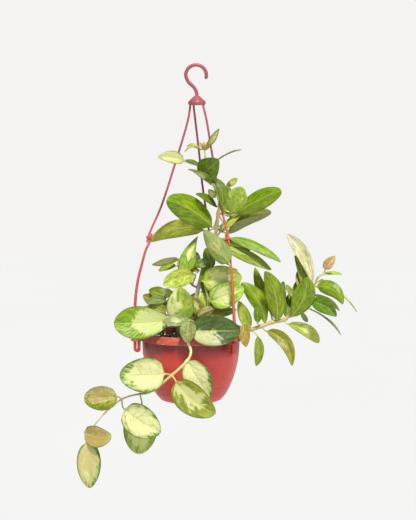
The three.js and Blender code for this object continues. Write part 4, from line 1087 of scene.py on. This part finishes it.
# Branch to the right
# A woody branch, pale and knotty, that leans out over the rim to the right and then rises. Its leaves are
# narrow and plain green, with a few cream, tan or withered.
right_limb = {
    "bark": [(190, 168, 112), (208, 188, 126), (210, 192, 124), (208, 198, 134)],
    "path": [
        [22, -12, -432, 2.8], [22, -12, -404, 2.8], [42, -20, -386, 2.8], [80.7, -24, -392, 2.8],
        [98.7, -26, -387, 2.8], [115, -26, -381, 2.8], [133, -26, -377, 2.7], [143.7, -28, -364.5, 2.4],
        [157, -30, -349.5, 2.2], [170.7, -32, -335, 2], [178, -34, -324, 1.6], [182.7, -36, -314, 1.3],
        [192, -36, -307.5, 1],
    ],
    "leaves": [
        [3, [80, -30, -391], [64, -26, -349.5], 19, {}, "light"],
        [3, [71, -33, -384], [74.7, -40, -418.5], 18, dict(roll=10), "withered", dict(blush=0.8)],
        [3, [92, -30, -402], [89.7, -12, -447], 15, dict(sway=3.5), "light"],
        [4, [103.5, -24, -385.5], [67, -14, -322.5], 25, dict(sway=-9, peak=1.25, fold=-14), "fresh"],
        [4, [92, -32, -382.5], [92.7, -26, -352.5], 13, {}, "deep"],
        [4, [104.7, -31, -394.5], [143.7, -60, -447], 20, dict(sway=13), "olive"],
        [5, [111, -16, -366], [88, 10, -299], 17, dict(sway=2), "fresh"],
        [5, [121, -30, -381], [103, -44, -304.5], 30, dict(sway=-7, peak=0.95, fold=-14), "fresh"],
        [6, [137, -32, -384], [184, -14, -412.5], 19, dict(sway=7, taper=0.55, peak=1.1),
         "lime", dict(cream=0.3, slope=-0.6)],
        [6, [135, -21, -375], [141, 4, -337.5], 16, {}, "deep"],
        [7, [141, -36, -374], [166, -56, -313.5], 34, dict(sway=-7, peak=1.1, fold=-14), "fresh"],
        [8, [148, -24, -346], [135, -4, -325], 9, {}, "light"],
        [8, [156, -25, -333], [152, -6, -304.5], 10, {}, "withered"],
        [8, [157, -27, -366], [167, -12, -381], 8, {}, "sage"],
        [8, [172, -34, -362], [217, -60, -400.5], 14, dict(roll=-84, arch=4), "sage"],
        [9, [168, -28, -346], [147.5, -10, -280.5], 14, dict(sway=-3), "light"],
        [9, [174.5, -31, -340], [215, -8, -364.5], 15, dict(roll=-125, arch=4),
         "sage", dict(cream=0.2, blush=1.0)],
        [9, [172, -40, -351], [210.5, -62, -372.8], 23, dict(sway=5), "deep"],
        [10, [174.5, -35, -326], [136, -14, -249], 20, dict(sway=-8, taper=0.6, peak=1.3), "ivory"],
        [10, [180, -38, -328], [220, -56, -354.8], 23, dict(sway=10, peak=0.7, fold=-14), "fresh"],
        [10, [190, -31, -318], [241, -14, -366], 14, dict(roll=-80, arch=4), "pale", dict(cream=0.7)],
        [12, [193.5, -37.5, -302.5], [209, -48, -282], 15, dict(sway=2), "rosy"],
        [11, [191, -37, -309.5], [218.7, -26, -309.5], 9, dict(roll=-55), "young"],
        [5, [124, -14, -373], [131, 16, -320], 18, dict(sway=2), "deep"],
        [7, [147, -18, -363], [152, 6, -318], 16, {}, "fresh"],
    ],
}
leafy_limb("right_branch", "branch_right", [right_limb], seed=25)


# Trailing vine
# The long pale vine trails over the front of the rim and out to the left. Its round leaves are cream in the
# middle with green margins, and the last ones are tanned.
vine_limb = {
    "bark": [(240, 232, 164), (246, 240, 176), (226, 224, 144), (176, 172, 108), (226, 210, 170),
             (222, 206, 176)],
    "path": [
        [-12, -42, -440, 2], [-12, -42, -402, 2], [-12, -60, -395, 2], [-12, -75, -402, 2],
        [-12, -82, -412, 2], [-8, -85, -424, 2], [-9.3, -87, -432, 1.9], [-14.5, -88, -440, 1.9],
        [-24.3, -88, -450, 1.9], [-36.3, -86, -460.5, 1.8], [-54.3, -82, -475.5, 1.8],
        [-66.3, -79, -484.5, 1.6], [-75.3, -78, -488, 1.5], [-84.3, -77, -489, 1.4],
        [-99.3, -75, -492, 1.3], [-112, -74, -497, 1.3], [-121.8, -73, -504, 1.2],
        [-135.3, -72, -516, 1.1], [-148.8, -71, -531, 1], [-159.3, -70, -546, 0.9],
        [-164, -71, -557, 0.9],
    ],
    "leaves": [
        [9, [-46.8, -82, -459], [-115, -102, -461.3], 52, dict(roll=4, taper=0.5),
         "margin", dict(cream=0.88, slope=-0.25)],
        [7, [-14, -87, -438], [20, -82, -495], 40, {}, "margin", dict(cream=0.95, lean=-0.15)],
        [9, [-31, -91, -469], [29, -102, -518.3], 45, dict(sway=-5.5, taper=0.55),
         "olive", dict(cream=0.55, blush=-1.0, slope=-0.2)],
        [15, [-117.3, -77, -493], [-168, -62, -496], 37, dict(taper=0.5),
         "olive", dict(cream=0.62, lean=-0.45, blush=1.0)],
        [15, [-108.3, -82, -511.5], [-53.6, -98, -547.5], 48, dict(sway=-1, taper=0.55),
         "margin", dict(cream=0.95)],
        [13, [-81.3, -76, -505.5], [-85.8, -64, -579], 51, dict(taper=0.55),
         "light", dict(cream=0.7, blush=-1.0)],
        [19, [-168, -73, -546], [-127, -90, -551], 34, dict(roll=8, sway=-3, taper=0.55),
         "olive", dict(cream=0.95, blush=1.3)],
        [20, [-161, -74, -559], [-160, -70, -630], 36.4, dict(taper=0.6),
         "margin", dict(cream=0.88, lean=-0.12, blush=0.6)],
    ],
}
leafy_limb("front_vine", "vine_front", [vine_limb], seed=26)


# Stems at the back
# Two stems that the front view hides, much like the others: a vine that hangs over the back of the rim and
# a short upright stem.
back_vine_limb = {
    "bark": [(226, 214, 150), (190, 180, 120)],
    "path": [
        [-24, 32, -432, 2.2], [-24, 32, -398, 2.2], [-27, 52, -384, 2.1], [-30, 70, -381, 2],
        [-32, 82, -395, 1.9], [-32, 87, -418, 1.8], [-30, 88, -442, 1.6], [-27, 87, -464, 1.3],
    ],
    "leaves": [
        [4, [-38, 86, -402], [-66, 96, -432], 28, dict(roll=180), "margin", dict(cream=0.8)],
        [4, [-26, 88, -404], [-14, 102, -446], 26, dict(roll=180), "margin", dict(cream=0.85)],
        [5, [-37, 90, -426], [-70, 96, -458], 27, dict(roll=180), "margin", dict(cream=0.7, blush=0.3)],
        [5, [-27, 92, -426], [4, 100, -462], 27, dict(roll=180), "margin", dict(cream=0.9)],
        [6, [-34, 91, -448], [-52, 98, -488], 26, dict(roll=180), "margin", dict(cream=0.7)],
        [6, [-26, 92, -450], [2, 100, -488], 22, dict(roll=180), "margin", dict(cream=0.75)],
        [7, [-26, 90, -466], [-12, 96, -496], 24, dict(roll=180), "margin", dict(cream=0.5)],
    ],
}
leafy_limb("back_vine", "vine_back", [back_vine_limb], seed=27)

back_limb = {
    "bark": [(170, 150, 104), (168, 180, 100)],
    "path": [
        [10, 26, -432, 2.2], [10, 26, -399, 2.2], [16, 30, -380, 2], [24, 33, -356, 1.9],
        [31, 34, -332, 1.6], [36, 34, -312, 1.3],
    ],
    "leaves": [
        [2, [8, 38, -381], [-16, 80, -368], 26, dict(roll=20), "fresh"],
        [2, [24, 36, -376], [60, 66, -362], 26, dict(roll=-60), "light"],
        [3, [20, 38, -354], [-12, 70, -344], 26, dict(roll=30), "light", dict(cream=0.5)],
        [3, [32, 38, -352], [62, 70, -336], 24, dict(roll=-60), "fresh"],
        [4, [28, 38, -328], [34, 80, -318], 24, {}, "light"],
        [5, [40, 37, -310], [60, 62, -302], 22, dict(roll=-60), "young"],
    ],
}
leafy_limb("back_stem", "stem_back", [back_limb], seed=28)


# Studio
# A wide pale floor below the hanging plant, a bright even surround, one large soft light from the upper
# left in front, and a weak one from the right. The camera stands where the photograph was taken from.
bpy.context.scene.view_settings.view_transform = "Standard"
floor_height, floor_reach, floor_sides = -1150, 12000, 64
pixel_size, photo_rows, film_width = 1.5, 520, 36

floor_white, tree, shader = new_material("studio floor")
faint = noise(object_place(tree), 0.7, 1.0)
tree.links.new(blend(faint, paint(217, 218, 219), paint(220, 221, 222)), shader.inputs["Base Color"])
shader.inputs["Roughness"].default_value = 0.9
shader.inputs["Specular IOR Level"].default_value = 0.1
turns = [math.tau * n / floor_sides for n in range(floor_sides)]
corners = [(floor_reach * math.cos(turn), floor_reach * math.sin(turn), floor_height) for turn in turns]
floor = placed("studio_floor", bare_mesh("studio_floor", corners, faces=[list(range(floor_sides))]))
floor.data.materials.append(floor_white)

world = bpy.data.worlds.new("studio surround")
world.use_nodes = True
surround = world.node_tree.nodes["Background"]
surround.inputs["Color"].default_value = paint(244, 243, 242)
seen_directly = add(world.node_tree, "ShaderNodeLightPath").outputs["Is Camera Ray"]
surround_strength = reckon("MULTIPLY_ADD", seen_directly, 0.78, 0.22)
world.node_tree.links.new(surround_strength, surround.inputs["Strength"])
bpy.context.scene.world = world


def soft_light(name, towards, width, strength, colour):
    """A wide, even, distant light, from a direction and as broad as an angle says."""
    lamp = bpy.data.lights.new(name, "SUN")
    lamp.angle, lamp.energy, lamp.color = math.radians(width), strength, colour
    light = bpy.data.objects.new(name, lamp)
    light.rotation_euler = (-Vector(towards)).to_track_quat("-Z", "Y").to_euler()
    bpy.context.scene.collection.objects.link(light)


soft_light("key_light", (0.14, -0.56, 1.0), 9, 3.9, (1, 0.985, 0.96))
soft_light("fill_light", (0.25, -1.0, 0.15), 50, 0.8, (0.98, 0.98, 1))

camera = bpy.data.objects.new("camera", bpy.data.cameras.new("camera"))
camera.location = Vector((view_middle[0], -view_distance * math.cos(view_fall),
                          view_middle[1] + view_distance * math.sin(view_fall))) * mm
camera.rotation_euler = (math.pi / 2 - view_fall, 0, 0)
camera.data.lens = film_width * view_distance / (pixel_size * photo_rows)
camera.data.clip_end = 60
bpy.context.scene.collection.objects.link(camera)
bpy.context.scene.camera = camera
